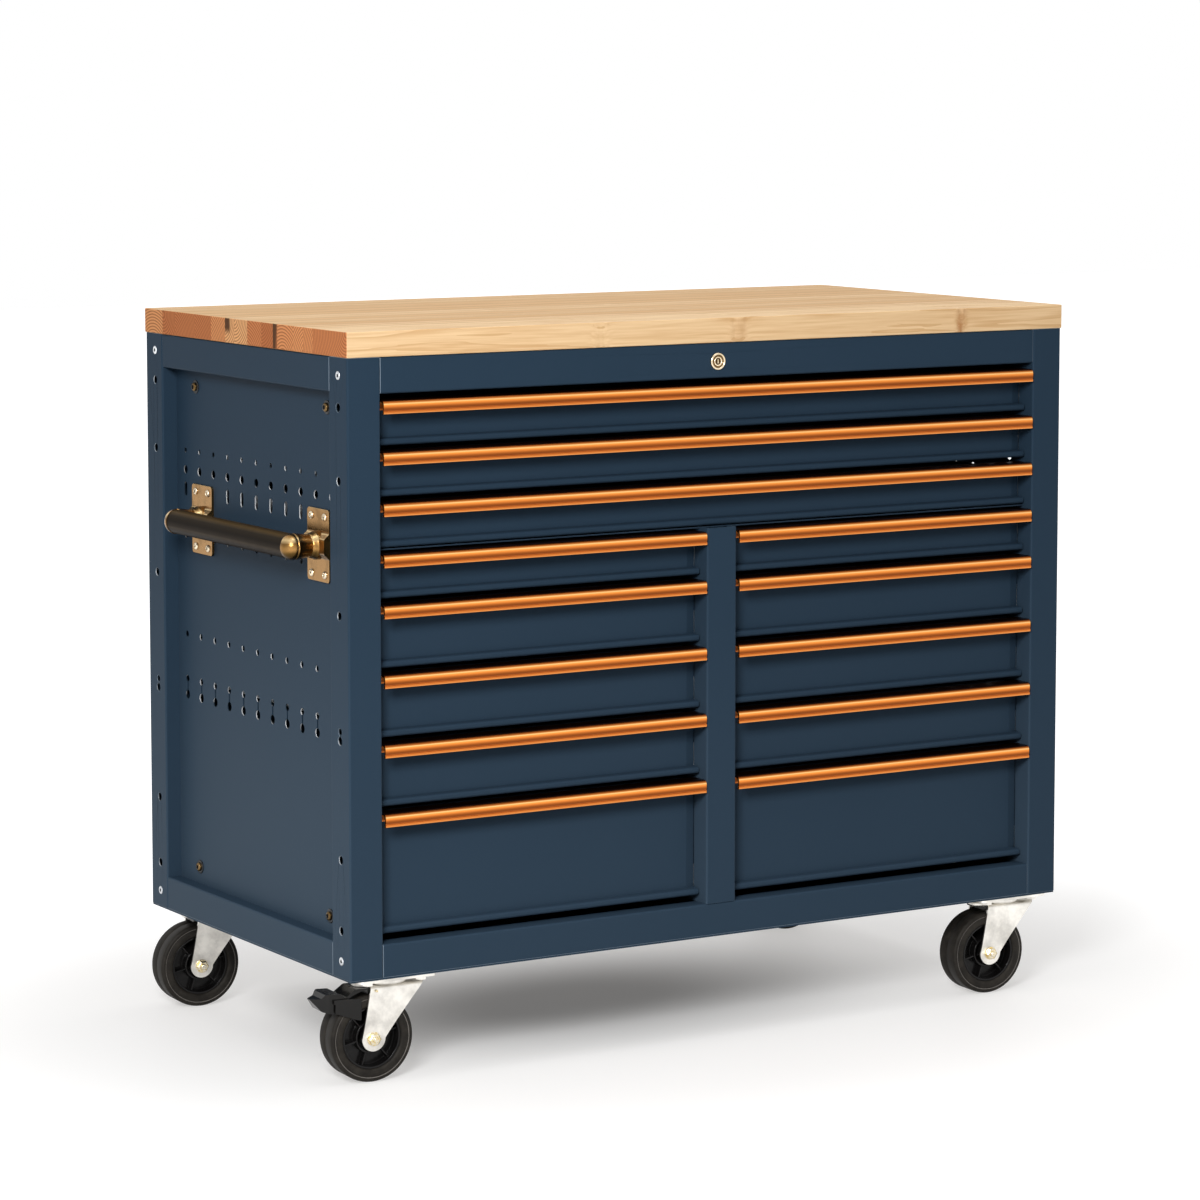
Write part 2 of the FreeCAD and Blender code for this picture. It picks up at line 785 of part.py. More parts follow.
def worktop():
    x0 = xl - top_overhang
    x1 = xr + top_overhang
    y0 = yf - top_overhang
    y1 = yb + top_overhang
    slab = box(x0, x1, y0, y1, z1, z1 + top_thickness)
    slab = slab.makeFillet(top_edge_round, slab.Edges)
    holes = []
    for x, y, z in top_screw_points():
        holes.append(rod(2.2, V(x, y, z1 - 1.0), V(x, y, z1 + top_thickness * 0.6)))
    return slab.cut(compound(holes))


def top_screw_points():
    # Through the folded top of the front rail and of the back panel.
    out = []
    for i in range(4):
        x = open_left + (i + 0.5) / 4.0 * (open_right - open_left)
        out.append((x, yf + rail_depth + 5.0, z1 - rail_wall))
        out.append((x, back_y - 10.0, z1 - sheet))
    return out


def top_screws():
    out = []
    for x, y, z in top_screw_points():
        head = rod(4.5, V(x, y, z - 3.0), V(x, y, z))
        shank = rod(2.2, V(x, y, z), V(x, y, z1 + top_thickness * 0.6))
        out.append(joined([head, shank]))
    return out


def drill_top_screws(shape):
    holes = []
    for x, y, z in top_screw_points():
        holes.append(rod(2.2, V(x, y, z - 2.0), V(x, y, z1 + 1.0)))
    return shape.cut(compound(holes))


def caster_plates():
    out = []
    for name, x, y in caster_places():
        low = z0 - plate_thick
        plate = box(x - plate_x / 2.0, x + plate_x / 2.0, y - plate_y / 2.0, y + plate_y / 2.0, low, z0)
        upright = [e for e in plate.Edges if abs(e.Vertexes[0].Z - e.Vertexes[1].Z) > 1.0]
        plate = plate.makeFillet(6.0, upright)
        race = rod(race_radius, V(x, y, low - race_height), V(x, y, low))
        lip = [e for e in race.Edges if abs(e.BoundBox.ZMin - (low - race_height)) < 1e-6 and e.Length > 100]
        race = race.makeFillet(2.5, lip[:1])
        fork_low = low - race_height - swivel_play - fork_wall
        pin = rod(king_radius, V(x, y, fork_low - swivel_play - 3.4), V(x, y, low))
        head = rod(king_radius + 3.4, V(x, y, fork_low - swivel_play - 3.4), V(x, y, fork_low - swivel_play))
        body = joined([plate, race, pin, head])
        holes = []
        for sx in (-1, 1):
            for sy in (-1, 1):
                px = x + sx * caster_bolt_x
                py = y + sy * caster_bolt_y
                holes.append(rod(caster_bolt_radius, V(px, py, low - 1), V(px, py, z0 + 1)))
        out.append(body.cut(compound(holes)))
    return out


def hexagon(radius, centre, axis, height):
    turn = FreeCAD.Rotation(V(0, 0, 1), axis)
    points = []
    for i in range(7):
        a = math.radians(60.0 * i)
        points.append(centre.add(turn.multVec(V(radius * math.cos(a), radius * math.sin(a), 0))))
    face = Part.Face(Part.makePolygon(points))
    return face.extrude(V(axis).multiply(height))


def caster_bolts():
    out = []
    for x, y in caster_bolt_points():
        low = z0 - plate_thick
        head = hexagon(caster_nut, V(x, y, low - 4.6), V(0, 0, 1), 4.6)
        shank = rod(caster_bolt_radius, V(x, y, low), V(x, y, zs + 8.0))
        nut = hexagon(caster_nut, V(x, y, zs), V(0, 0, 1), 5.0)
        out.append(joined([head, shank, nut]))
    return out


def placed(shape, x, y):
    # Local caster shapes trail towards -X; turn them and set them under the body.
    turned = shape.copy()
    turned.rotate(V(0, 0, 0), V(0, 0, 1), -caster_turn)
    turned.translate(V(x, y, 0))
    return turned


fork_top = z0 - plate_thick - race_height - swivel_play
hub_half = fork_gap / 2.0 - 0.3
pedal_pivot = (-20.0, fork_top - 6.6)
pedal_pin = 1.6
pedal_room = 6.2


def fork_shapes(braked):
    half = fork_gap / 2.0
    w = fork_wall
    disc = rod(fork_disc, V(0, 0, fork_top - w), V(0, 0, fork_top))
    rim = ring(fork_disc, fork_disc - 2.2, V(0, 0, fork_top - w - 2.4), V(0, 0, fork_top - w))
    shoulder = box(-caster_trail - 3.0, fork_disc + 1.0, -half - w, half + w, fork_top - w, fork_top)
    legs = []
    hub = wheel_radius
    for side in (-1, 1):
        y0 = -half - w if side < 0 else half
        at = lambda a, b: V(a, y0, b)
        outline = [(-caster_trail - 3.0, fork_top), (fork_disc + 3.0, fork_top)]
        outline += [(fork_disc + 1.0, fork_top - 8.0), (-caster_trail + 14.5, hub - 6.5)]
        outline += [(-caster_trail + 6.0, hub - 15.2)]
        outline += [(-caster_trail - 9.0, hub - 15.2), (-caster_trail - 15.2, hub)]
        radii = [3.0, 5.0, 6.0, 12.0, 9.0, 10.0, 12.0]
        legs.append(solid_section(outline, radii, at, V(0, w, 0)))
    body = joined([disc, rim, shoulder] + legs)
    hole = rod(king_radius + king_fit, V(0, 0, fork_top - w - 1), V(0, 0, fork_top + 1))
    axle = V(-caster_trail, 0, wheel_radius)
    cross = rod(axle_radius, axle.add(V(0, -half - w - 1, 0)), axle.add(V(0, half + w + 1, 0)))
    body = body.cut(hole).cut(cross)
    parts = [body, axle_bolt()]
    if braked:
        px, pz = pedal_pivot
        pin = rod(pedal_pin, V(px, -half - w - 3.0, pz), V(px, half + w + 3.0, pz))
        passage = box(-fork_disc - 1.0, 0.0, -half, half, fork_top - w - 3.0, fork_top - w)
        parts[0] = body.cut(pin).cut(passage)
        parts.append(pin)
    else:
        parts.append(dust_guard())
    return parts


def axle_bolt():
    half = fork_gap / 2.0 + fork_wall
    x = -caster_trail
    z = wheel_radius
    head = hexagon(7.4, V(x, -half - 5.2, z), V(0, 1, 0), 5.2)
    shank = rod(axle_radius, V(x, -half, z), V(x, half + 9.0, z))
    nut = hexagon(7.4, V(x, half, z), V(0, 1, 0), 6.5)
    return joined([head, shank, nut])


def dust_guard():
    # Small black block under the trailing edge of the fork top.
    half = fork_gap / 2.0
    low = fork_top - fork_wall - 4.6
    block = box(-fork_disc + 8.0, -fork_disc + 20.0, -half, half, low, fork_top - fork_wall)
    return block


def tyre():
    x = -caster_trail
    z = wheel_radius
    h = wheel_width / 2.0
    r0 = core_radius
    r1 = wheel_radius
    at = lambda a, b: V(x, a, z + b)
    outline = [(-h + 2.0, r0), (h - 2.0, r0), (h, r0 + 2.5), (h, r1), (-h, r1), (-h, r0 + 2.5)]
    radii = [0.0, 0.0, 1.5, tyre_corner, tyre_corner, 1.5]
    face = Part.Face(rounded_wire(outline, radii, at))
    return face.revolve(V(x, 0, z), V(0, 1, 0), 360)


def wheel_core():
    x = -caster_trail
    z = wheel_radius
    h = wheel_width / 2.0 - 2.0
    place = lambda a: V(x, a, z)
    rim = ring(core_radius, core_radius - 3.0, place(-h), place(h))
    hub = rod(12.0, place(-hub_half), place(hub_half))
    collar = ring(hub_ring, hub_ring - 3.0, place(-h + 3.0), place(h - 3.0))
    web = rod(core_radius - 2.0, place(-3.0), place(3.0))
    ribs = []
    for i in range(core_ribs):
        rib = box(10.0, core_radius - 2.0, -h + 5.0, h - 5.0, -1.1, 1.1)
        rib.rotate(V(0, 0, 0), V(0, 1, 0), 47.5 + 360.0 / core_ribs * i)
        rib.translate(V(x, 0, z))
        ribs.append(rib)
    body = joined([rim, hub, collar, web] + ribs)
    return body.cut(rod(axle_radius + axle_fit, place(-hub_half - 1), place(hub_half + 1)))


def brake_pedal():
    # Lever over the wheel on the fork's cross pin, with a humped, pointed step and a side skirt.
    px, pz = pedal_pivot
    half = fork_gap / 2.0 - 1.5
    tip = -(caster_inset_x + handle_reach - 0.3)
    top = fork_top
    at = lambda a, b: V(a, -half, b)
    arm = [(px + 3.4, pz + 3.4), (-45.0, pz + 3.4), (-58.5, top - 12.6), (-64.5, top - 7.0)]
    arm += [(-82.5, top - 6.0), (-87.0, top - 11.8), (tip, top - 12.6), (tip + 0.8, top - 14.0)]
    arm += [(-86.5, top - 27.4), (-66.0, top - 32.2), (-40.0, top - 14.2)]
    arm += [(px - 3.0, pz - 3.4), (px + 3.4, pz - 3.4)]
    radii = [3.0, 5.0, 4.0, 4.0, 5.0, 3.0, 0.5, 0.5, 6.0, 4.0, 3.0, 2.0, 3.0]
    lever = solid_section(arm, radii, at, V(0, 2 * half, 0))
    plan = [(px + 6.0, -half), (px + 6.0, half), (-80.0, half), (tip, 3.5), (tip, -3.5), (-80.0, -half)]
    at = lambda a, b: V(a, b, 0)
    lever = lever.common(solid_section(plan, [0.0, 0.0, 8.0, 1.5, 1.5, 8.0], at, V(0, 0, z0)))
    side = -fork_gap / 2.0 - 1.6
    bridge = box(-74.0, -54.0, side, -half + 1.0, top - 18.2, top - 13.2)
    y0, y1 = -half - 1.0, half + 1.0
    axle = lambda a: V(-caster_trail, a, wheel_radius)
    tyre_room = rod(wheel_radius + 1.6, axle(y0), axle(y1))
    press_room = rod(wheel_radius + pedal_room, axle(y0), axle(y1))
    press_room = press_room.common(box(tip, -30.0, y0, y1, 0.0, z0))
    hole = rod(pedal_pin + axle_fit, V(px, y0, pz), V(px, y1, pz))
    body = joined([lever, bridge]).cut(tyre_room).cut(press_room).cut(hole)
    at = lambda a, b: V(a, side, b)
    skirt = [(-72.0, top - 14.2), (-38.5, top - 14.2), (-38.5, top - 41.2)]
    skirt += [(-46.0, top - 39.2), (-72.5, top - 29.5)]
    cheek = solid_section(skirt, [0.0, 0.0, 1.5, 3.0, 3.0], at, V(0, 1.6, 0))
    return joined([body, cheek])


def build():
    rails = front_rails()
    screws = drill_top_screws
    save("worktop", [worktop()])
    save("corner_posts", corner_posts())
    save("post_rivets", post_rivets())
    save("front_rails", [screws(rails[0]), rails[1]])
    save("side_rails", side_rails())
    save("left_side_panel", [side_panel(xl, 1.0)])
    save("right_side_panel", [side_panel(xr, -1.0)])
    save("panel_bolts", panel_bolts())
    save("back_panel", [screws(back_panel())])
    save("base_panel", [base_panel()])
    save("centre_frame", centre_frame())
    save("centre_panel", [centre_panel()])
    save("fixed_slides", fixed_slides())
    save("top_screws", top_screws())
    save("handle_tube", [handle_tube()])
    save("handle_brackets", [handle_bracket(y) for y in handle_points()])
    save("handle_screws", handle_screws())
    save("lock_barrel", lock_barrel())
    save("lock_plug", lock_plug())
    for name, x0, x1, top, low in drawers:
        save("drawer_" + name, drawer(name, x0, x1, top, low))
        save("pull_" + name, [pull(x0, x1, top)])
    save("caster_plates", caster_plates())
    save("caster_bolts", caster_bolts())
    for name, x, y in caster_places():
        shapes = fork_shapes(name == "front_left")
        save("fork_" + name, [placed(s, x, y) for s in shapes])
        save("tyre_" + name, [placed(tyre(), x, y)])
        save("wheel_core_" + name, [placed(wheel_core(), x, y)])
        if name == "front_left":
            save("brake_pedal", [placed(brake_pedal(), x, y)])


build()
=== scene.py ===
import json
import math

import bmesh
import bpy
from mathutils import Matrix, Vector

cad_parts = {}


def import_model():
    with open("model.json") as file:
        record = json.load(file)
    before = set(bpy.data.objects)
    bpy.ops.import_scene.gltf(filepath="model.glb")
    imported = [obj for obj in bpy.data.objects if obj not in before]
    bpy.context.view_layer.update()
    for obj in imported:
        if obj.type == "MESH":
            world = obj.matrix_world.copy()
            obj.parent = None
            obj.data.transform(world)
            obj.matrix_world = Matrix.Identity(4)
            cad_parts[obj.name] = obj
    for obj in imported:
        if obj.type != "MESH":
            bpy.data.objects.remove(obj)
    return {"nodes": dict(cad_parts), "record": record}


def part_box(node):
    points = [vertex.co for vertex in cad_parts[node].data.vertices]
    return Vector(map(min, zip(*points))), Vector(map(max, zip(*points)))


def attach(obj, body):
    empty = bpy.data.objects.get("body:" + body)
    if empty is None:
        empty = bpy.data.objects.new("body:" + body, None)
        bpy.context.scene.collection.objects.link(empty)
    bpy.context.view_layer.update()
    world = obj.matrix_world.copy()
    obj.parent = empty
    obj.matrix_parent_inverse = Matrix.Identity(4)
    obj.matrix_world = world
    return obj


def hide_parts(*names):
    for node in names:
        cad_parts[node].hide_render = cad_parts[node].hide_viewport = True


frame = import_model()
bpy.context.scene.view_settings.view_transform = "Standard"
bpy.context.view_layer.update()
nodes = frame["nodes"]

# %% [markdown]
# ## Node sockets with arithmetic
# One small class wraps a socket, so that a material reads like a formula.
# %% Socket class


class Net:
    def __init__(self, tree):
        self.tree = tree

    def node(self, kind, **props):
        made = self.tree.nodes.new(kind)
        for name, value in props.items():
            setattr(made, name, value)
        return made

    def put(self, socket, value):
        if isinstance(value, Sock):
            self.tree.links.new(value.out, socket)
        else:
            socket.default_value = value

    def math(self, op, *args, clamp=False):
        made = self.node("ShaderNodeMath", operation=op, use_clamp=clamp)
        for i, value in enumerate(args):
            self.put(made.inputs[i], value)
        return Sock(self, made.outputs[0])

    def coords(self):
        return Sock(self, self.node("ShaderNodeTexCoord").outputs["Object"])

    def seen(self):
        # One for what the camera, a gloss or a clear piece looks at, nought for light that falls on things.
        path = self.node("ShaderNodeLightPath").outputs
        out = Sock(self, path["Is Camera Ray"]) + Sock(self, path["Is Glossy Ray"])
        return (out + Sock(self, path["Is Transmission Ray"])).clamp()

    def span(self):
        # Nought to one across the object's own box.
        return Sock(self, self.node("ShaderNodeTexCoord").outputs["Generated"])

    def rise(self):
        # How far the surface faces up, from minus one to one.
        return self.split(Sock(self, self.node("ShaderNodeNewGeometry").outputs["Normal"]))[2]

    def sideways(self):
        # One on faces that look along X, nought on those that look along Y or Z.
        return self.split(Sock(self, self.node("ShaderNodeNewGeometry").outputs["Normal"]))[0].abs()

    def split(self, vector):
        made = self.node("ShaderNodeSeparateXYZ")
        self.put(made.inputs[0], vector)
        return [Sock(self, o) for o in made.outputs]

    def join(self, x, y, z):
        made = self.node("ShaderNodeCombineXYZ")
        for i, value in enumerate((x, y, z)):
            self.put(made.inputs[i], value)
        return Sock(self, made.outputs[0])

    def scaled(self, vector, x, y, z):
        made = self.node("ShaderNodeVectorMath", operation="MULTIPLY")
        self.put(made.inputs[0], vector)
        made.inputs[1].default_value = (x, y, z)
        return Sock(self, made.outputs[0])

    def noise(self, vector, scale, detail=2.0, rough=0.5, distort=0.0):
        made = self.node("ShaderNodeTexNoise")
        self.put(made.inputs["Vector"], vector)
        made.inputs["Scale"].default_value = scale
        made.inputs["Detail"].default_value = detail
        made.inputs["Roughness"].default_value = rough
        made.inputs["Distortion"].default_value = distort
        return Sock(self, made.outputs[0])

    def cells(self, vector, scale):
        made = self.node("ShaderNodeTexVoronoi", feature="F1")
        self.put(made.inputs["Vector"], vector)
        made.inputs["Scale"].default_value = scale
        return Sock(self, made.outputs["Distance"])

    def random(self, value):
        made = self.node("ShaderNodeTexWhiteNoise", noise_dimensions="1D")
        self.put(made.inputs["W"], value)
        return Sock(self, made.outputs["Value"])

    def ramp(self, value, *stops):
        made = self.node("ShaderNodeValToRGB")
        band = made.color_ramp
        while len(band.elements) < len(stops):
            band.elements.new(0.5)
        for element, (at, colour) in zip(band.elements, stops):
            element.position = at
            element.color = tuple(colour) + (1.0,)
        self.put(made.inputs[0], value)
        return Sock(self, made.outputs[0])

    def mix(self, factor, a, b, how="MIX"):
        made = self.node("ShaderNodeMix", data_type="RGBA", blend_type=how)
        self.put(made.inputs[0], factor)
        for socket, value in ((made.inputs[6], a), (made.inputs[7], b)):
            self.put(socket, value if isinstance(value, Sock) else tuple(value) + (1.0,))
        return Sock(self, made.outputs[2])

    def smooth(self, value, low, high):
        made = self.node("ShaderNodeMapRange", interpolation_type="SMOOTHSTEP")
        self.put(made.inputs["Value"], value)
        made.inputs["From Min"].default_value = low
        made.inputs["From Max"].default_value = high
        return Sock(self, made.outputs[0])

    def bump(self, height, distance, strength=1.0, normal=None):
        made = self.node("ShaderNodeBump")
        self.put(made.inputs["Height"], height)
        made.inputs["Distance"].default_value = distance
        made.inputs["Strength"].default_value = strength
        if normal is not None:
            self.put(made.inputs["Normal"], normal)
        return Sock(self, made.outputs[0])


class Sock:
    def __init__(self, net, out):
        self.net = net
        self.out = out

    def __add__(self, other):
        return self.net.math("ADD", self, other)

    def __radd__(self, other):
        return self.net.math("ADD", other, self)

    def __sub__(self, other):
        return self.net.math("SUBTRACT", self, other)

    def __rsub__(self, other):
        return self.net.math("SUBTRACT", other, self)

    def __mul__(self, other):
        return self.net.math("MULTIPLY", self, other)

    def __rmul__(self, other):
        return self.net.math("MULTIPLY", other, self)

    def __truediv__(self, other):
        return self.net.math("DIVIDE", self, other)

    def __gt__(self, other):
        return self.net.math("GREATER_THAN", self, other)

    def __lt__(self, other):
        return self.net.math("LESS_THAN", self, other)

    def abs(self):
        return self.net.math("ABSOLUTE", self)

    def power(self, k):
        return self.net.math("POWER", self, k)

    def sine(self):
        return self.net.math("SINE", self)

    def least(self, other):
        return self.net.math("MINIMUM", self, other)

    def most(self, other):
        return self.net.math("MAXIMUM", self, other)

    def clamp(self):
        return self.net.math("ADD", self, 0.0, clamp=True)


def material(name, **fixed):
    mat = bpy.data.materials.new(name)
    mat.use_nodes = True
    net = Net(mat.node_tree)
    shader = mat.node_tree.nodes["Principled BSDF"]
    for key, value in fixed.items():
        key = key.replace("_", " ").title().replace("Ior", "IOR").replace("Bsdf", "BSDF")
        shader.inputs[key].default_value = value
    return mat, net, shader.inputs


def colour(r, g, b):
    # Screen values 0 to 255 to scene-linear.
    out = []
    for v in (r, g, b):
        v = v / 255.0
        out.append(v / 12.92 if v <= 0.04045 else ((v + 0.055) / 1.055) ** 2.4)
    return tuple(out)


# %% [markdown]
# ## Camera
# Fitted to the edges of the body and worktop in the photograph.
# %% Camera
camera = bpy.data.objects.new("camera", bpy.data.cameras.new("camera"))
bpy.context.scene.collection.objects.link(camera)
camera.data.sensor_width = 36.0
camera.data.lens = 124.41
camera.data.shift_y = -0.1
camera.data.clip_end = 60.0
yaw = math.radians(31.365)
pitch = math.radians(5.838)
camera.location = (-2.7598, -4.5367, 1.2196)
forward = Vector((math.sin(yaw) * math.cos(pitch), math.cos(yaw) * math.cos(pitch), -math.sin(pitch)))
camera.rotation_mode = "QUATERNION"
camera.rotation_quaternion = forward.to_track_quat("-Z", "Y")
bpy.context.scene.camera = camera
print("camera: lens", camera.data.lens, "shift", camera.data.shift_y)

# %% [markdown]
# ## Studio
# A white floor that fades into a white background and keeps the cabinet's soft shadow, one large
# soft light overhead, softer ones from the left and the front, and a plain pale world. The floor's own
# glow is grey near the casters: a painted shadow that deepens the one the lamps cast.
# %% Studio
FADE_START = 0.45
FADE_END = 1.25


def floor():
    mesh = bpy.data.meshes.new("floor")
    s = 14.0
    mesh.from_pydata([(-s, -s, 0), (s, -s, 0), (s, s, 0), (-s, s, 0)], [], [(0, 1, 2, 3)])
    obj = bpy.data.objects.new("floor", mesh)
    bpy.context.scene.collection.objects.link(obj)
    obj.location = (0, 0, -0.0004)
    mat, net, put = material("floor_white", roughness=0.6, specular_ior_level=0.1, emission_strength=1.0)
    at = net.coords()
    x, y, z = net.split(at)
    speck = net.noise(at, 3.0, 3.0)
    away = net.math("SQRT", x * x * 0.55 + y * y)
    fade = net.smooth(away, FADE_START, FADE_END)
    # Painted shadow: the glow stays grey inside an oval around the cabinet and turns pale outside it, deepening the
    # real shadow from the lamps.
    near = net.math("SQRT", (x + 0.04) * (x + 0.04) * 4.0 + y * y * 11.0)
    spread = net.smooth(near, 0.2, 1.1)
    seen = net.seen()
    net.put(put["Base Color"], net.mix(speck, (0.54, 0.54, 0.54), (0.56, 0.56, 0.56)))
    pale = net.mix(spread, (0.13, 0.125, 0.12), (0.50, 0.49, 0.48))
    glow_with_painted_shadow = net.mix(fade, pale, (1.0, 1.0, 1.0))
    net.put(put["Emission Color"], net.mix(seen, (0.0, 0.0, 0.0), glow_with_painted_shadow))
    mesh.materials.append(mat)
    return obj


def area(name, place, aim, size_x, size_y, power, tint=(1.0, 1.0, 1.0)):
    light = bpy.data.lights.new(name, "AREA")
    light.shape = "RECTANGLE"
    light.size = size_x
    light.size_y = size_y
    light.energy = power
    light.color = tint
    obj = bpy.data.objects.new(name, light)
    bpy.context.scene.collection.objects.link(obj)
    obj.location = place
    toward = (Vector(aim) - Vector(place)).normalized()
    obj.rotation_mode = "QUATERNION"
    obj.rotation_quaternion = toward.to_track_quat("-Z", "Y")
    return obj


def world():
    made = bpy.data.worlds.new("studio")
    bpy.context.scene.world = made
    made.use_nodes = True
    net = Net(made.node_tree)
    back = made.node_tree.nodes["Background"]
    up = net.split(Sock(net, net.node("ShaderNodeTexCoord").outputs["Generated"]))[2]
    tone = net.ramp(up * 0.5 + 0.5, (0.0, (0.16,) * 3), (0.5, (0.18,) * 3), (0.75, (0.26,) * 3), (1.0, (0.40,) * 3))
    net.put(back.inputs["Color"], net.mix(net.seen(), tone, (1.0, 1.0, 1.0)))
    net.put(back.inputs["Strength"], 1.0)


floor()
world()
area("overhead", (0.25, -0.3, 3.4), (0.0, 0.0, 0.5), 2.4, 1.8, 32.0)
area("key_left", (-2.46, -2.74, 2.06), (0.0, 0.0, 0.5), 1.0, 1.0, 119.0)
area("front_fill", (1.6, -4.6, 1.5), (0.0, 0.0, 0.45), 2.4, 1.2, 5.0)
print("studio: floor, world, 3 soft lights")

# %% [markdown]
# ## Materials
# Powder coat: dark navy with a fine orange-peel bump, lighter towards the foot as painted floor light.
# Worktop: glued strips with their own tones, long grain, glue lines, knots and end grain. Pulls: copper
# anodised with drawing marks along them and bands of painted reflection across them.
# %% Painted steel


def navy():
    mat, net, put = material("navy_powder_coat", specular_ior_level=0.04)
    at = net.coords()
    cloud = net.noise(at, 5.0, 4.0, 0.55)
    grain = net.noise(at, 900.0, 2.0, 0.6)
    base = net.mix(cloud, (0.0190, 0.0385, 0.0630), (0.0235, 0.0440, 0.0710))
    fleck = net.smooth(net.noise(at, 1600.0, 1.0), 0.60, 0.75)
    base = net.mix(fleck * 0.2, base, (0.040, 0.066, 0.098))
    # Painted floor light: the base colour turns lighter towards the foot, on the sides more than on the front, as if
    # the pale floor lit it.
    low = 1.0 - net.smooth(net.split(at)[2], 0.10, 0.80)
    base = net.mix(low * (net.sideways() * 0.7 + 0.3), base, (0.046, 0.074, 0.108))
    net.put(put["Base Color"], base)
    net.put(put["Roughness"], 0.36 + grain * 0.12 + cloud * 0.05)
    peel = net.noise(at, 420.0, 2.0, 0.5)
    net.put(put["Normal"], net.bump(peel, 0.00018, 0.35))
    return mat


# %% Worktop wood
STRIPS = (0.222, 0.185, 0.128, 0.083, 0.044, 0.018, -0.017, -0.055, -0.085, -0.097, -0.139, -0.164, -0.189)
KNOTS = ((-0.177, 0.0, 0.011, 0.30), (0.022, -0.002, 0.012, 0.45), (0.361, 0.0, 0.007, 0.95))


def wood():
    mat, net, put = material("butcher_block", specular_ior_level=0.05)
    at = net.coords()
    x, y, z = net.split(at)
    y = y - 0.00125
    face = net.split(Sock(net, net.node("ShaderNodeNewGeometry").outputs["True Normal"]))
    strip = None
    seam = None
    for edge in STRIPS:
        past = y > edge
        near = (y - edge).abs()
        strip = past if strip is None else strip + past
        seam = near if seam is None else seam.least(near)
    tone = net.random(strip + 0.37)
    second = net.random(strip * 3.1 + 5.3)
    shift = strip * 7.31
    # Long grain: noise drawn out along the strip, with slow waves and knots that bend it.
    bend = net.noise(net.join(x * 1.6 + shift, y * 6.0, z * 6.0), 1.0, 2.0) * 0.010
    knot_dark = None
    for kx, kz, width, depth in KNOTS:
        dx = (x - kx - 0.017) / width
        blob = net.math("EXPONENT", dx * dx * -1.0)
        bend = bend + blob * 0.004
        here = blob * depth
        knot_dark = here if knot_dark is None else knot_dark.most(here)
    across = y + bend
    up = z + bend * 0.6
    fine = net.noise(net.join(x * 9.0 + shift, across * 300.0, up * 300.0), 1.0, 3.0, 0.6)
    broad = net.noise(net.join(x * 2.2 + shift, across * 70.0, up * 55.0), 1.0, 3.0, 0.55, 0.4)
    rings = net.smooth(net.math("FRACT", broad * 5.0 + tone * 3.0), 0.55, 0.98)
    pale = net.mix(tone, (0.66, 0.42, 0.20), (0.92, 0.69, 0.42))
    pale = net.mix(second * 0.45, pale, (0.73, 0.45, 0.22))
    board = net.mix(rings * 0.62, pale, (0.56, 0.31, 0.125))
    board = net.mix(((fine - 0.35) * 1.6).clamp(), board, (0.62, 0.37, 0.17))
    front = (face[1] * -1.0) > 0.7
    board = net.mix(front * 0.25, board, (0.72, 0.42, 0.19))
    streak = net.smooth(net.noise(net.join(x * 60.0, z * 14.0, 0.0), 1.0, 3.0), 0.40, 0.70)
    knots = (knot_dark * streak * front).clamp()
    board = net.mix(knots, board, (0.42, 0.17, 0.055))
    line = (1.0 - net.smooth(seam, 0.0004, 0.0019)) * (0.45 + second * 0.55) * (face[2] > 0.7)
    board = net.mix(line, board, (0.30, 0.155, 0.070))
    # End grain: ring arcs about a different centre in each strip, redder than the boards.
    arc_y = (y - edge_centre(net, strip)) * 1.0 + (tone - 0.5) * 0.05
    arc_z = (z - 0.881) + (second - 0.5) * 0.08
    radius = net.math("SQRT", arc_y * arc_y + arc_z * arc_z + 0.00002)
    wobble = net.noise(at, 60.0, 2.0) * 0.0016
    ring = net.math("FRACT", (radius + wobble) * 260.0)
    ring = net.smooth(ring, 0.35, 0.95)
    end_base = net.ramp(net.random(strip * 1.7 + 2.9), (0.0, (0.50, 0.165, 0.062)), (0.45, (0.66, 0.25, 0.098)), (0.75, (0.76, 0.33, 0.135)), (1.0, (0.84, 0.46, 0.21)))
    end = net.mix(ring * 0.85, end_base, (0.26, 0.075, 0.026))
    end = net.mix(net.noise(at, 700.0, 2.0) * 0.10, end, (0.78, 0.40, 0.19))
    wane = wane_mask(net, y, z)
    end = net.mix(wane, end, (0.10, 0.045, 0.022))
    ends = face[0].abs() > 0.7
    net.put(put["Base Color"], net.mix(ends, board, end))
    net.put(put["Roughness"], 0.46 + fine * 0.12 + ends * 0.12)
    relief = fine * 0.6 - line * 1.5 - wane * 2.0
    net.put(put["Normal"], net.bump(relief, 0.0004, 0.35))
    return mat


def edge_centre(net, strip):
    # A rough middle for each strip: enough for the arcs to change from one to the next.
    return strip * 0.039 - 0.25


def wane_mask(net, y, z):
    # Two dark slivers where a strip's edge kept a little bark.
    out = None
    for left, right, lower in ((0.044, 0.030, 0.45), (-0.0855, -0.097, 1.0)):
        lean = (z - 0.8965) * (0.10 if lower > 0.5 else -0.06)
        inside = net.smooth(y + lean, right - 0.002, right + 0.004) * (y < left)
        fade = net.smooth(z, 0.8965 - 0.031 * lower - 0.004, 0.8965 - 0.031 * lower + 0.006)
        both = inside * fade
        out = both if out is None else out.most(both)
    return out.clamp()


# %% Metals and plastics


# Painted reflections and highlights: copper tones across each pull's height, dark under the gap above, a bright nose
# line, then lighter and darker bands below.
COPPER_PAINTED_REFLECTIONS = (
    (0.00, (128, 78, 50)), (0.05, (238, 158, 88)), (0.11, (196, 110, 46)), (0.22, (198, 112, 50)),
    (0.32, (134, 71, 31)), (0.38, (118, 61, 25)), (0.46, (150, 80, 32)), (0.58, (214, 122, 52)),
    (0.68, (240, 152, 70)), (0.76, (255, 210, 138)), (0.83, (202, 116, 46)), (0.91, (106, 48, 12)), (1.00, (40, 14, 3)))


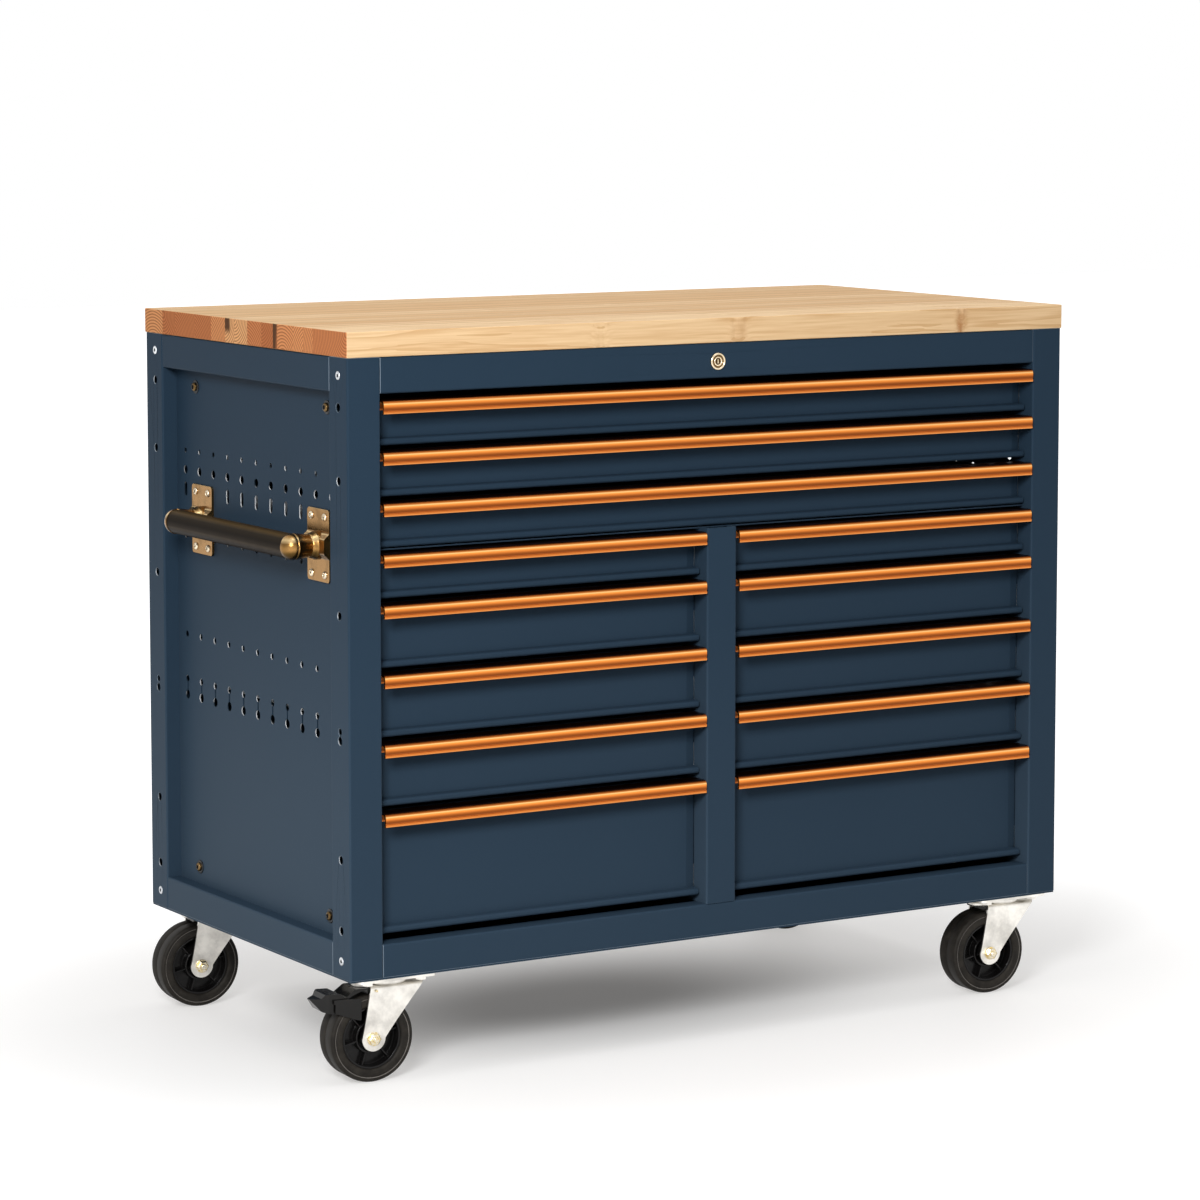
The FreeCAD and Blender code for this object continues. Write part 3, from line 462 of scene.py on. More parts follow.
def copper():
    mat, net, put = material("copper_anodised", metallic=1.0)
    at = net.coords()
    up = net.split(net.span())[2]
    drawn = net.noise(net.scaled(at, 3.0, 1500.0, 1500.0), 1.0, 2.0)
    broad = net.noise(net.scaled(at, 1.2, 160.0, 160.0), 1.0, 2.0)
    painted_reflection_bands = net.ramp(up + (broad - 0.5) * 0.03, *[(k, colour(*tone)) for k, tone in COPPER_PAINTED_REFLECTIONS])
    net.put(put["Base Color"], net.mix(broad * 0.15, painted_reflection_bands, colour(200, 112, 50)))
    net.put(put["Roughness"], 0.26 + drawn * 0.14)
    net.put(put["Normal"], net.bump(drawn, 0.00005, 0.2))
    return mat


def brass():
    mat, net, put = material("aged_brass", metallic=1.0)
    at = net.coords()
    cloud = net.noise(at, 45.0, 4.0, 0.6)
    grit = net.noise(at, 900.0, 2.0)
    tilt = net.rise() * 0.5 + 0.5 + (cloud - 0.5) * 0.16
    # Painted reflections: dark on faces that look down, a bright band on faces turned up at a slant, darker again on
    # top.
    painted_reflection_bands = net.ramp(tilt, (0.0, colour(52, 38, 16)), (0.28, colour(92, 70, 36)), (0.42, colour(150, 112, 64)), (0.52, colour(160, 120, 68)),
                     (0.66, colour(120, 88, 48)), (0.80, colour(232, 202, 148)), (0.90, colour(170, 130, 76)), (1.0, colour(110, 82, 44)))
    dull = net.smooth(cloud, 0.45, 0.75)
    net.put(put["Base Color"], net.mix(dull * 0.45, painted_reflection_bands, colour(104, 80, 46)))
    net.put(put["Roughness"], 0.22 + dull * 0.16 + grit * 0.06)
    net.put(put["Normal"], net.bump(grit, 0.00010, 0.25))
    return mat


def bronze_tube():
    mat, net, put = material("dark_bronze_tube", specular_ior_level=0.03)
    at = net.coords()
    mottle = net.noise(at, 60.0, 4.0, 0.6)
    fine = net.noise(net.scaled(at, 900.0, 40.0, 900.0), 1.0, 2.0)
    tilt = net.rise() * 0.5 + 0.5
    # Painted reflections: a pale band on faces turned down at a slant, near black at the sides and a brown band near
    # the top.
    painted_reflection_bands = net.ramp(tilt, (0.0, colour(30, 24, 18)), (0.22, colour(44, 36, 28)), (0.33, colour(66, 56, 44)), (0.42, colour(40, 32, 22)),
                     (0.60, colour(20, 14, 8)), (0.82, colour(34, 26, 14)), (0.94, colour(84, 66, 38)), (1.0, colour(60, 46, 26)))
    net.put(put["Base Color"], net.mix(mottle * 0.35, painted_reflection_bands, colour(30, 23, 14)))
    net.put(put["Roughness"], 0.34 + fine * 0.10 + mottle * 0.08)
    net.put(put["Normal"], net.bump(fine, 0.00006, 0.2))
    return mat


def zinc(name="bright_zinc", base=(0.93, 0.90, 0.84), dark=(0.56, 0.54, 0.50), rough=0.24):
    mat, net, put = material(name, metallic=1.0)
    at = net.coords()
    cloud = net.smooth(net.noise(at, 30.0, 4.0, 0.6), 0.30, 0.68)
    drawn = net.noise(net.scaled(at, 260.0, 260.0, 12.0), 1.0, 3.0)
    net.put(put["Base Color"], net.mix(cloud, dark, base))
    net.put(put["Roughness"], rough + drawn * 0.14 + cloud * 0.08)
    net.put(put["Normal"], net.bump(drawn, 0.00010, 0.18))
    return mat


def yellow_zinc():
    mat, net, put = material("yellow_zinc", metallic=1.0)
    at = net.coords()
    swirl = net.noise(at, 300.0, 3.0, 0.6, 1.0)
    net.put(put["Base Color"], net.mix(net.smooth(swirl, 0.35, 0.65), (0.78, 0.62, 0.30), (0.80, 0.76, 0.66)))
    net.put(put["Roughness"], 0.20 + swirl * 0.12)
    net.put(put["Normal"], net.bump(swirl, 0.0001, 0.15))
    return mat


def plain(name, low, high, rough, spread, scale, height, strength, **fixed):
    mat, net, put = material(name, **fixed)
    at = net.coords()
    cloud = net.noise(at, scale * 0.06, 3.0)
    grain = net.noise(at, scale, 2.0)
    net.put(put["Base Color"], net.mix(cloud, low, high))
    net.put(put["Roughness"], rough + grain * spread)
    net.put(put["Normal"], net.bump(grain, height, strength))
    return mat


def hole_walls_bare_and_lit():
    # Punched hole walls: bare sheet in some holes, whose near-white also stands in as painted light for light seen
    # through the holes; painted over in others.
    mat, net, put = material("bare_hole_wall", metallic=0.35)
    at = net.coords()
    patch = net.smooth(net.noise(at, 26.0, 1.0), 0.40, 0.48)
    net.put(put["Base Color"], net.mix(patch, (0.016, 0.030, 0.045), (0.86, 0.88, 0.90)))
    net.put(put["Roughness"], 0.30 + net.noise(at, 800.0) * 0.2)
    return mat


def rubber():
    mat, net, put = material("tyre_rubber", specular_ior_level=0.16)
    at = net.coords()
    dust = net.noise(at, 70.0, 5.0, 0.65)
    grain = net.noise(at, 1500.0, 2.0)
    net.put(put["Base Color"], net.mix(net.smooth(dust, 0.35, 0.75), (0.013, 0.011, 0.009), (0.030, 0.026, 0.021)))
    net.put(put["Roughness"], 0.50 + dust * 0.18)
    net.put(put["Normal"], net.bump(grain, 0.00012, 0.25))
    return mat


MATERIALS = {
    "worktop_wood": wood(),
    "navy_paint": navy(),
    "pull_copper": copper(),
    "handle_brass": brass(),
    "handle_dark": bronze_tube(),
    "screw_bright": zinc("bright_screw", (0.86, 0.74, 0.55), (0.62, 0.52, 0.38), 0.22),
    "rivet_bright": zinc("bright_rivet", (0.78, 0.80, 0.82), (0.55, 0.57, 0.60), 0.25),
    "slide_zinc": zinc("slide_zinc", (0.66, 0.67, 0.68), (0.48, 0.49, 0.50), 0.32),
    "caster_zinc": zinc(),
    "lock_nickel": zinc("lock_nickel", (0.83, 0.71, 0.52), (0.66, 0.53, 0.35), 0.16),
    "fastener_dark": plain("black_oxide", (0.010, 0.011, 0.012), (0.022, 0.024, 0.027), 0.34, 0.12, 900.0, 0.0001, 0.2, metallic=0.6),
    "tyre_rubber": rubber(),
    "wheel_black": plain("wheel_black", (0.003, 0.003, 0.003), (0.007, 0.006, 0.006), 0.16, 0.12, 700.0, 0.0001, 0.15, specular_ior_level=0.22),
    "pedal_black": plain("pedal_black", (0.003, 0.003, 0.003), (0.008, 0.007, 0.006), 0.14, 0.14, 500.0, 0.0002, 0.25, specular_ior_level=0.26),
}
YELLOW = yellow_zinc()
# Painted edge highlight: a lighter, glossier navy for the bevel faces of the posts and rails.
EDGE_HIGHLIGHT = plain("navy_edge", (0.120, 0.165, 0.215), (0.175, 0.225, 0.275), 0.26, 0.10, 900.0, 0.0001, 0.1, specular_ior_level=0.4)
HOLE_WALL_BARE_AND_LIT = hole_walls_bare_and_lit()
# Painted highlight: a lighter, glossier rubber for the groove on each tyre's side.
GROOVE_HIGHLIGHT = plain("mould_line", (0.10, 0.09, 0.08), (0.16, 0.145, 0.13), 0.22, 0.10, 900.0, 0.0001, 0.1)
DARK_GOLD = zinc("dark_gold", (0.22, 0.14, 0.06), (0.12, 0.075, 0.03), 0.25)
CORE_BROWN = zinc("core_brown", (0.10, 0.055, 0.022), (0.05, 0.028, 0.012), 0.28)
print("materials:", len(MATERIALS) + 6)

# %% [markdown]
# ## CAD nodes
# Each carried-over node gets its slot's material. Their split corners are welded and the sharp edges
# get a fine bevel, which is what catches the light on real sheet metal and wood. On the posts, rails and
# centre frame the bevel faces also get a lighter navy, a painted edge highlight.
# %% Assign
slots = {s["node"]: s["material_slot"] for s in frame["record"]["subparts"]}
BEVELS = {"worktop_wood": 0.0, "pull_copper": 0.00035, "handle_brass": 0.0009, "pedal_black": 0.0010,
          "wheel_black": 0.0008, "lock_nickel": 0.0004, "navy_paint": 0.00055}
EDGED = ("corner_posts", "side_rails", "front_rails", "centre_frame")
PUNCHED = ("left_side_panel", "right_side_panel", "corner_posts")
UNBEVELLED = ("left_side_panel", "right_side_panel", "base_panel", "back_panel")


def soften(obj, width):
    weld = obj.modifiers.new("weld", "WELD")
    weld.merge_threshold = 0.00001
    bevel = obj.modifiers.new("bevel", "BEVEL")
    bevel.width = width
    bevel.segments = 2
    bevel.limit_method = "ANGLE"
    bevel.angle_limit = math.radians(32)
    even = obj.modifiers.new("even", "WEIGHTED_NORMAL")
    even.weight = 60
    for face in obj.data.polygons:
        face.use_smooth = True
    return bevel


def punch(obj):
    # The small facets inside the holes, which look along the sheet, get the near-white of bare sheet, partly painted
    # light.
    obj.data.materials.append(HOLE_WALL_BARE_AND_LIT)
    count = 0
    for face in obj.data.polygons:
        if face.area < 0.000006 and abs(face.normal.x) < 0.2:
            face.material_index = len(obj.data.materials) - 1
            count += 1
    return count


bare = 0
for name, obj in nodes.items():
    obj.data.materials.clear()
    obj.data.materials.append(MATERIALS[slots[name]])
    width = BEVELS.get(slots[name], 0.0004)
    # The bevel faces of these nodes take the lighter navy: a painted edge highlight.
    if name in EDGED:
        obj.data.materials.append(EDGE_HIGHLIGHT)
        soften(obj, 0.0007).material = 1
    elif width > 0.0 and name not in UNBEVELLED:
        soften(obj, width)
    if name in PUNCHED:
        bare += punch(obj)
print("assigned:", len(slots), "bare hole facets:", bare)

# %% [markdown]
# ## Shared shapes
# Small makers for turned, sheet and six-sided pieces. They find their places from the frame.
# %% Makers
CAST = []


def shaped(name, verts, faces, mat, body, slot, hides=()):
    mesh = bpy.data.meshes.new(name)
    mesh.from_pydata([tuple(v) for v in verts], [], faces)
    mesh.materials.append(mat)
    for face in mesh.polygons:
        face.use_smooth = True
    work = bmesh.new()
    work.from_mesh(mesh)
    bmesh.ops.remove_doubles(work, verts=work.verts, dist=0.000002)
    bmesh.ops.recalc_face_normals(work, faces=work.faces)
    work.to_mesh(mesh)
    work.free()
    obj = bpy.data.objects.new(name, mesh)
    bpy.context.scene.collection.objects.link(obj)
    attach(obj, body)
    if hides:
        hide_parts(*hides)
    CAST.append(name)
    return obj


def solids_of(name):
    # Lowest and highest corner of every separate solid in a node, largest first.
    work = bmesh.new()
    work.from_mesh(nodes[name].data)
    bmesh.ops.remove_doubles(work, verts=work.verts, dist=0.000005)
    left = set(work.verts)
    out = []
    while left:
        stack = [left.pop()]
        group = []
        while stack:
            vert = stack.pop()
            group.append(vert.co)
            for edge in vert.link_edges:
                other = edge.other_vert(vert)
                if other in left:
                    left.discard(other)
                    stack.append(other)
        low = Vector([min(c[i] for c in group) for i in range(3)])
        high = Vector([max(c[i] for c in group) for i in range(3)])
        out.append((low, high))
    work.free()
    return sorted(out, key=lambda pair: -(pair[1] - pair[0]).length)


def turned(profile, place, axis, steps=48, start=0.0):
    # A profile of (radius, distance along the axis) turned about the axis through place.
    axis = Vector(axis).normalized()
    side = axis.orthogonal().normalized()
    if abs(axis.z) < 0.5:
        side = axis.cross(Vector((0, 0, 1))).normalized()
    third = axis.cross(side)
    verts = []
    faces = []
    for radius, along in profile:
        for k in range(steps):
            a = start + 2 * math.pi * k / steps
            verts.append(Vector(place) + axis * along + (side * math.cos(a) + third * math.sin(a)) * radius)
    for i in range(len(profile) - 1):
        for k in range(steps):
            n = (k + 1) % steps
            faces.append((i * steps + k, i * steps + n, (i + 1) * steps + n, (i + 1) * steps + k))
    return verts, faces


def gather(parts):
    verts = []
    faces = []
    for more, rings in parts:
        base = len(verts)
        verts += more
        faces += [tuple(base + k for k in ring) for ring in rings]
    return verts, faces


def arc(cx, cy, radius, begin, end, count):
    # Points of a round stretch of a profile, angles in degrees.
    out = []
    for i in range(count + 1):
        a = math.radians(begin + (end - begin) * i / count)
        out.append((cx + radius * math.cos(a), cy + radius * math.sin(a)))
    return out


def crisp(obj, width=0.0003, angle=35, segments=2):
    bevel = obj.modifiers.new("bevel", "BEVEL")
    bevel.width = width
    bevel.segments = segments
    bevel.limit_method = "ANGLE"
    bevel.angle_limit = math.radians(angle)
    even = obj.modifiers.new("even", "WEIGHTED_NORMAL")
    even.weight = 60


def hexed(radius, height, place, axis):
    # Hexagon head with a turned-down face, then a low washer ring under it.
    body = turned([(0.0, height), (radius * 0.80, height), (radius, height - radius * 0.14), (radius, 0.0008), (0.0, 0.0008)], place, axis, 6)
    washer = turned([(0.0, 0.0012), (radius * 1.06, 0.0012), (radius * 1.10, 0.0009), (radius * 1.10, 0.0), (0.0, 0.0)], place, axis, 40)
    return gather([body, washer])


# %% [markdown]
# ## Fasteners
# Domed handle screws with a hexagon recess, flanged panel bolts and dimpled rivets, one per place. The screws' recess
# and the rivets' dimple are coloured black oxide as painted shade.
# %% Fasteners


def domed_screws():
    parts = []
    sinks = []
    for low, high in solids_of("handle_screws"):
        y = (low.y + high.y) / 2
        z = (low.z + high.z) / 2
        face = low.x
        r = (high.z - low.z) / 2
        profile = [(0.0, 0.0014), (0.0021, 0.0014), (0.0021, 0.00015), (0.0025, 0.0)]
        profile += [(r * 0.72, 0.0003), (r * 0.90, 0.0010), (r * 0.985, 0.0017), (r, 0.0024), (0.0, 0.0024)]
        parts.append(turned(profile, (face, y, z), (1, 0, 0), 40))
        shank = [(0.0, 0.0), (0.0025, 0.0), (0.0025, high.x - face), (0.0, high.x - face)]
        parts.append(turned(shank, (face + 0.0024, y, z), (1, 0, 0), 24))
        sinks.append((y, z, face))
        nut_face = high.x - 0.0070
        parts.append(turned([(0.0, 0.0), (r * 0.94, 0.0), (r * 0.94, 0.004), (0.0, 0.004)], (nut_face, y, z), (1, 0, 0), 6))
    verts, faces = gather(parts)
    obj = shaped("handle_screws_domed", verts, faces, MATERIALS["screw_bright"], "cabinet", "screw_bright", ["handle_screws"])
    # The recess is coloured black oxide: painted shade in the socket.
    obj.data.materials.append(MATERIALS["fastener_dark"])
    for face in obj.data.polygons:
        c = face.center
        if any(math.hypot(c.y - y, c.z - z) < 0.0019 and c.x < f + 0.0016 for y, z, f in sinks):
            face.material_index = 1
    crisp(obj, 0.0002)


def panel_bolts():
    parts = []
    heads = []
    for low, high in solids_of("panel_bolts"):
        y = (low.y + high.y) / 2
        z = (low.z + high.z) / 2
        out = -1.0 if low.x < 0 else 1.0
        face = low.x if out < 0 else high.x
        inward = (-out, 0, 0)
        r = (high.z - low.z) / 2
        head = [(0.0, 0.0026), (0.0024, 0.0026), (0.0024, 0.0004), (0.0030, 0.0), (0.0044, 0.0004), (0.0054, 0.0014), (0.0056, 0.0034), (0.0, 0.0034)]
        seat = [(0.0, 0.0034), (r * 0.90, 0.0034), (r, 0.0039), (r, 0.0049), (0.0, 0.0049)]
        parts.append(turned(head, (face, y, z), inward, 40))
        parts.append(turned(seat, (face, y, z), inward, 48))
        shank = [(0.0, 0.0049), (0.0032, 0.0049), (0.0032, 0.0139), (0.0, 0.0139)]
        parts.append(turned(shank, (face, y, z), inward, 20))
        nut = [(0.0, 0.0062), (0.0062, 0.0062), (0.0062, 0.0106), (0.0, 0.0106)]
        parts.append(turned(nut, (face, y, z), inward, 6))
        heads.append((y, z, face))
    verts, faces = gather(parts)
    obj = shaped("panel_bolts_flanged", verts, faces, MATERIALS["fastener_dark"], "cabinet", "fastener_dark", ["panel_bolts"])
    obj.data.materials.append(DARK_GOLD)
    for face in obj.data.polygons:
        c = face.center
        if any(0.0036 < math.hypot(c.y - y, c.z - z) < 0.0056 and abs(c.x - f) < 0.0030 for y, z, f in heads):
            face.material_index = 1
    crisp(obj, 0.0002)


def rivets():
    parts = []
    dimples = []
    for low, high in solids_of("post_rivets"):
        y = (low.y + high.y) / 2
        z = (low.z + high.z) / 2
        out = -1.0 if low.x < 0 else 1.0
        face = low.x if out < 0 else high.x
        r = (high.z - low.z) / 2
        profile = [(0.0, 0.0011), (0.0017, 0.0011), (0.0021, 0.0003), (0.0025, 0.0), (r * 0.82, 0.0002), (r, 0.0007), (r, 0.0009), (0.0, 0.0009)]
        parts.append(turned(profile, (face, y, z), (-out, 0, 0), 36))
        parts.append(turned([(0.0, 0.0009), (0.0030, 0.0009), (0.0030, 0.0030), (0.0, 0.0030)], (face, y, z), (-out, 0, 0), 20))
        dimples.append((y, z, face))
    verts, faces = gather(parts)
    obj = shaped("post_rivets_dimpled", verts, faces, MATERIALS["rivet_bright"], "cabinet", "rivet_bright", ["post_rivets"])
    # The dimple is coloured black oxide: painted shade in the hollow.
    obj.data.materials.append(MATERIALS["fastener_dark"])
    for face in obj.data.polygons:
        c = face.center
        if any(math.hypot(c.y - y, c.z - z) < 0.0021 and abs(c.x - f) < 0.0015 for y, z, f in dimples):
            face.material_index = 1


domed_screws()
panel_bolts()
rivets()

# %% [markdown]
# ## Handle elbows
# On the real handle the ball that closes the tube runs into its foot in one smooth casting. A turned
# sleeve over the plain neck gives that swell, a fine turned groove and the flare onto the foot.
# %% Elbows


def elbow_sleeves():
    low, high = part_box("handle_brackets")
    ball = 0.016
    centre_x = low[0] + ball
    flat = high[0] - 0.003 - centre_x
    foot = high[0] - 0.010 - centre_x
    parts = []
    for one_low, one_high in solids_of("handle_brackets"):
        place = (centre_x, (one_low.y + one_high.y) / 2, (one_low.z + one_high.z) / 2)
        outer = [(0.01598, 0.0003), (0.0159, 0.0030), (0.0156, 0.0062), (0.0151, 0.0096), (0.0146, 0.0130), (0.0142, 0.0165)]
        outer += [(0.0140, foot - 0.0092), (0.0140, foot - 0.0078), (0.0137, foot - 0.0073), (0.0137, foot - 0.0067), (0.0141, foot - 0.0062)]
        outer += [(0.0146, foot - 0.0050), (0.0152, foot - 0.0036), (0.0158, foot - 0.0018), (0.0166, foot - 0.0002), (0.0172, foot + 0.0012)]
        outer += [(0.0174, flat), (0.0130, flat), (0.0130, 0.0003), (0.01598, 0.0003)]
        parts.append(turned(outer, place, (1, 0, 0), 72))
    verts, faces = gather(parts)
    shaped("handle_elbows", verts, faces, MATERIALS["handle_brass"], "cabinet", "handle_brass")
    print("elbow: ball to foot", round(foot * 1000, 1), "mm")


elbow_sleeves()

# %% [markdown]
# ## Lock
# The barrel with its rolled bezel, stepped cup and nut, and the keyed core with its lip, shaft and cam.
# %% Lock


def lock_barrel():
    low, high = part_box("lock_barrel")
    (nut_low, nut_high), (body_low, body_high) = solids_of("lock_barrel")
    if body_high.y < nut_high.y:
        nut_low, nut_high, body_low, body_high = body_low, body_high, nut_low, nut_high
    x = (low[0] + high[0]) / 2
    z = (low[2] + high[2]) / 2
    r = (body_high.z - body_low.z) / 2
    front = body_low.y
    deep = body_high.y - front
    seat = 0.0026
    profile = [(0.00605, deep), (0.00605, 0.0022), (0.0064, 0.0021), (0.0074, 0.0021), (0.0078, 0.0019), (0.0080, 0.0011)]
    profile += [(0.0085, 0.0003), (0.0094, 0.0), (0.0102, 0.0004), (r - 0.0001, 0.0012), (r, seat - 0.0002), (r - 0.0003, seat)]
    profile += [(0.0090, seat), (0.0090, deep), (0.00605, deep)]
    obj = shaped("lock_barrel_turned", *turned(profile, (x, front, z), (0, 1, 0), 64), MATERIALS["lock_nickel"], "cabinet", "lock_nickel", ["lock_barrel"])
    obj.data.materials.append(DARK_GOLD)
    for face in obj.data.polygons:
        c = face.center
        if math.hypot(c.x - x, c.z - z) < 0.0079 and c.y < front + 0.0024:
            face.material_index = 1
    nut = [(0.0090, 0.0), (0.0125, 0.0), (0.0125, nut_high.y - nut_low.y), (0.0090, nut_high.y - nut_low.y), (0.0090, 0.0)]
    ring = shaped("lock_nut", *turned(nut, (x, nut_low.y, z), (0, 1, 0), 6), MATERIALS["lock_nickel"], "cabinet", "lock_nickel")
    crisp(ring, 0.0004)
    return x, front, z


def lock_plug(x, front, z):
    low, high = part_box("lock_plug")
    reach = high[0] - x
    end = high[1] - front
    half = (high[2] - low[2]) / 2
    lip = [(0.0, 0.0014), (0.0024, 0.0015), (0.0038, 0.0020), (0.0041, 0.0017), (0.0043, 0.0008), (0.0050, 0.0004)]
    lip += [(0.0057, 0.0007), (0.0060, 0.0014), (0.0060, end - 0.0028), (0.0076, end - 0.0026), (0.0076, end), (0.0, end)]
    obj = shaped("lock_plug_keyed", *turned(lip, (x, front, z), (0, 1, 0), 56), MATERIALS["lock_nickel"], "lock", "lock_nickel", ["lock_plug"])
    obj.data.materials.append(CORE_BROWN)
    for face in obj.data.polygons:
        c = face.center
        if math.hypot(c.x - x, c.z - z) < 0.0041 and c.y < front + 0.0024:
            face.material_index = 1
    # The cam: a flat arm with a round tip, on the inner end of the plug.
    outline = [(0.0, -0.006)] + arc(reach - 0.006, 0.0, 0.006, -90, 90, 12) + [(0.0, 0.006)]
    count = len(outline)
    verts = [(x + a, front + end - t, z + b) for t in (0.0025, 0.0) for a, b in outline]
    faces = [tuple(range(count))[::-1], tuple(range(count, 2 * count))]
    faces += [(i, (i + 1) % count, count + (i + 1) % count, count + i) for i in range(count)]
    cam = shaped("lock_cam", verts, faces, MATERIALS["lock_nickel"], "lock", "lock_nickel")
    crisp(cam, 0.0003)
    slit = [(-0.0007, -0.0026), (0.0007, -0.0026), (0.0007, 0.0026), (-0.0007, 0.0026)]
    verts = [(x + a, front + t, z + b) for t in (0.0012, 0.0019) for a, b in slit]
    faces = [(0, 1, 2, 3), (7, 6, 5, 4), (0, 4, 5, 1), (1, 5, 6, 2), (2, 6, 7, 3), (3, 7, 4, 0)]
    key = shaped("lock_keyway", verts, faces, YELLOW, "lock", "lock_nickel")
    crisp(key, 0.00025)
    return half


lock_plug(*lock_barrel())

# %% [markdown]
# ## Casters
# Every caster is made in its own frame, a along the fork, b along the axle, with the place and the
# direction taken from the swivel and wheel joints. The forks are pressed from one sheet.
# %% Casters
JOINTS = {j["name"]: j for j in frame["record"]["behaviour"]["joints"]}
FORK_WALL = 0.0026


class Caster:
    def __init__(self, name):
        self.name = name
        swivel = Vector(JOINTS["swivel_" + name]["pos_m"])
        wheel = Vector(JOINTS["roll_" + name]["pos_m"])
        self.axle = Vector(JOINTS["roll_" + name]["axis"]).normalized()
        self.along = self.axle.cross(Vector((0, 0, 1))).normalized()
        gap = Vector((swivel.x - wheel.x, swivel.y - wheel.y, 0.0))
        self.trail = gap.dot(self.along)
        self.centre = wheel
        self.origin = Vector((swivel.x, swivel.y, 0.0))
        low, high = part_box("tyre_" + name)
        self.radius = (high[2] - low[2]) / 2
        low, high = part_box("fork_" + name)
        self.top = high[2]

    def at(self, a, b, z):
        return self.origin + self.along * a + self.axle * b + Vector((0, 0, z))


def leg_span(caster, z):
    # Front and rear edge of a leg at a height: a taper from the shoulder to the round axle boss.
    hub = caster.centre.z
    boss = 0.0152
    middle = -caster.trail
    if z <= hub:
        reach = math.sqrt(max(boss ** 2 - (z - hub) ** 2, 0.0000001))
        return middle - reach, middle + reach * 1.0
    k = (z - hub) / (caster.top - hub)
    rear = middle - boss + (boss - 0.003) * k ** 0.85
    front = middle + boss + (0.044 + caster.trail - boss) * (k ** 1.05)
    return rear, front


def fork(caster):
    half = 0.0200
    bend = 0.0060
    disc = 0.0405
    top = caster.top
    rows = []
    # Down one leg, over the shoulder and across the top, then the same mirrored.
    hub = caster.centre.z
    boss = 0.0152
    side = []
    for i in range(9):
        z = hub - boss * math.cos(math.radians(90.0 * i / 8)) * 0.999
        side.append((half + FORK_WALL, z, None))
    for i in range(1, 13):
        z = hub + (top - bend - hub) * i / 12
        side.append((half + FORK_WALL, z, None))
    for i in range(1, 7):
        a = math.radians(90.0 * i / 6)
        side.append((half + FORK_WALL - bend + bend * math.cos(a), top - bend + bend * math.sin(a), None))
    flat = half + FORK_WALL - bend
    for i in range(1, 7):
        side.append((flat * (1 - i / 6), top, i / 6))
    profile = [(b, z, k) for b, z, k in side] + [(-b, z, k) for b, z, k in side[::-1][1:]]
    count = 28
    for b, z, k in profile:
        rear, front = leg_span(caster, min(z, top))
        if k is not None:
            reach = math.sqrt(max(disc ** 2 - b * b, 0.0))
            blend = min(1.0, k * 1.5)
            blend = blend * blend * (3 - 2 * blend)
            rear = rear * (1 - blend) - reach * blend
            front = front * (1 - blend) + reach * blend
        row = []
        for j in range(count + 1):
            t = j / count
            row.append(caster.at(rear + (front - rear) * t, b, z))
        rows.append(row)
    verts = [v for row in rows for v in row]
    faces = []
    w = count + 1
    for i in range(len(rows) - 1):
        for j in range(count):
            faces.append((i * w + j, i * w + j + 1, (i + 1) * w + j + 1, (i + 1) * w + j))
    name = caster.name
    obj = shaped("fork_pressed_" + name, verts, faces, MATERIALS["caster_zinc"], "swivel_" + name, "caster_zinc", ["fork_" + name])
    thick = obj.modifiers.new("thick", "SOLIDIFY")
    thick.thickness = FORK_WALL
    thick.offset = -1.0
    crisp(obj, 0.0007, 40, 3)
    return obj


def axle_set(caster, braked):
    parts = []
    half = 0.0200 + FORK_WALL
    ends = []
    for s in (-1.0, 1.0):
        base = caster.centre + caster.axle * s * half
        parts.append(hexed(0.0078, 0.0056, base, caster.axle * s))
        ends.append(turned([(0.0, 0.0085), (0.0030, 0.0085), (0.0036, 0.0079), (0.0036, 0.0040), (0.0, 0.0040)], base, caster.axle * s, 28))
    tube = turned([(0.0, 0.0), (0.0040, 0.0), (0.0040, 2 * half), (0.0, 2 * half)], caster.centre - caster.axle * half, caster.axle, 28)
    verts, faces = gather(parts + ends[:1] + [tube])
    obj = shaped("axle_bolt_" + caster.name, verts, faces, YELLOW, "swivel_" + caster.name, "caster_zinc")
    crisp(obj, 0.00035)
    if braked:
        pivot = Vector(JOINTS["brake_press"]["pos_m"])
        reach = half + 0.0030
        pin = [(0.0, 0.0), (0.0013, 0.0), (0.0017, 0.0004), (0.0017, 2 * reach - 0.0004), (0.0013, 2 * reach), (0.0, 2 * reach)]
        shaped("pedal_pin", *turned(pin, pivot - caster.axle * reach, caster.axle, 24), YELLOW, "swivel_" + caster.name, "caster_zinc")


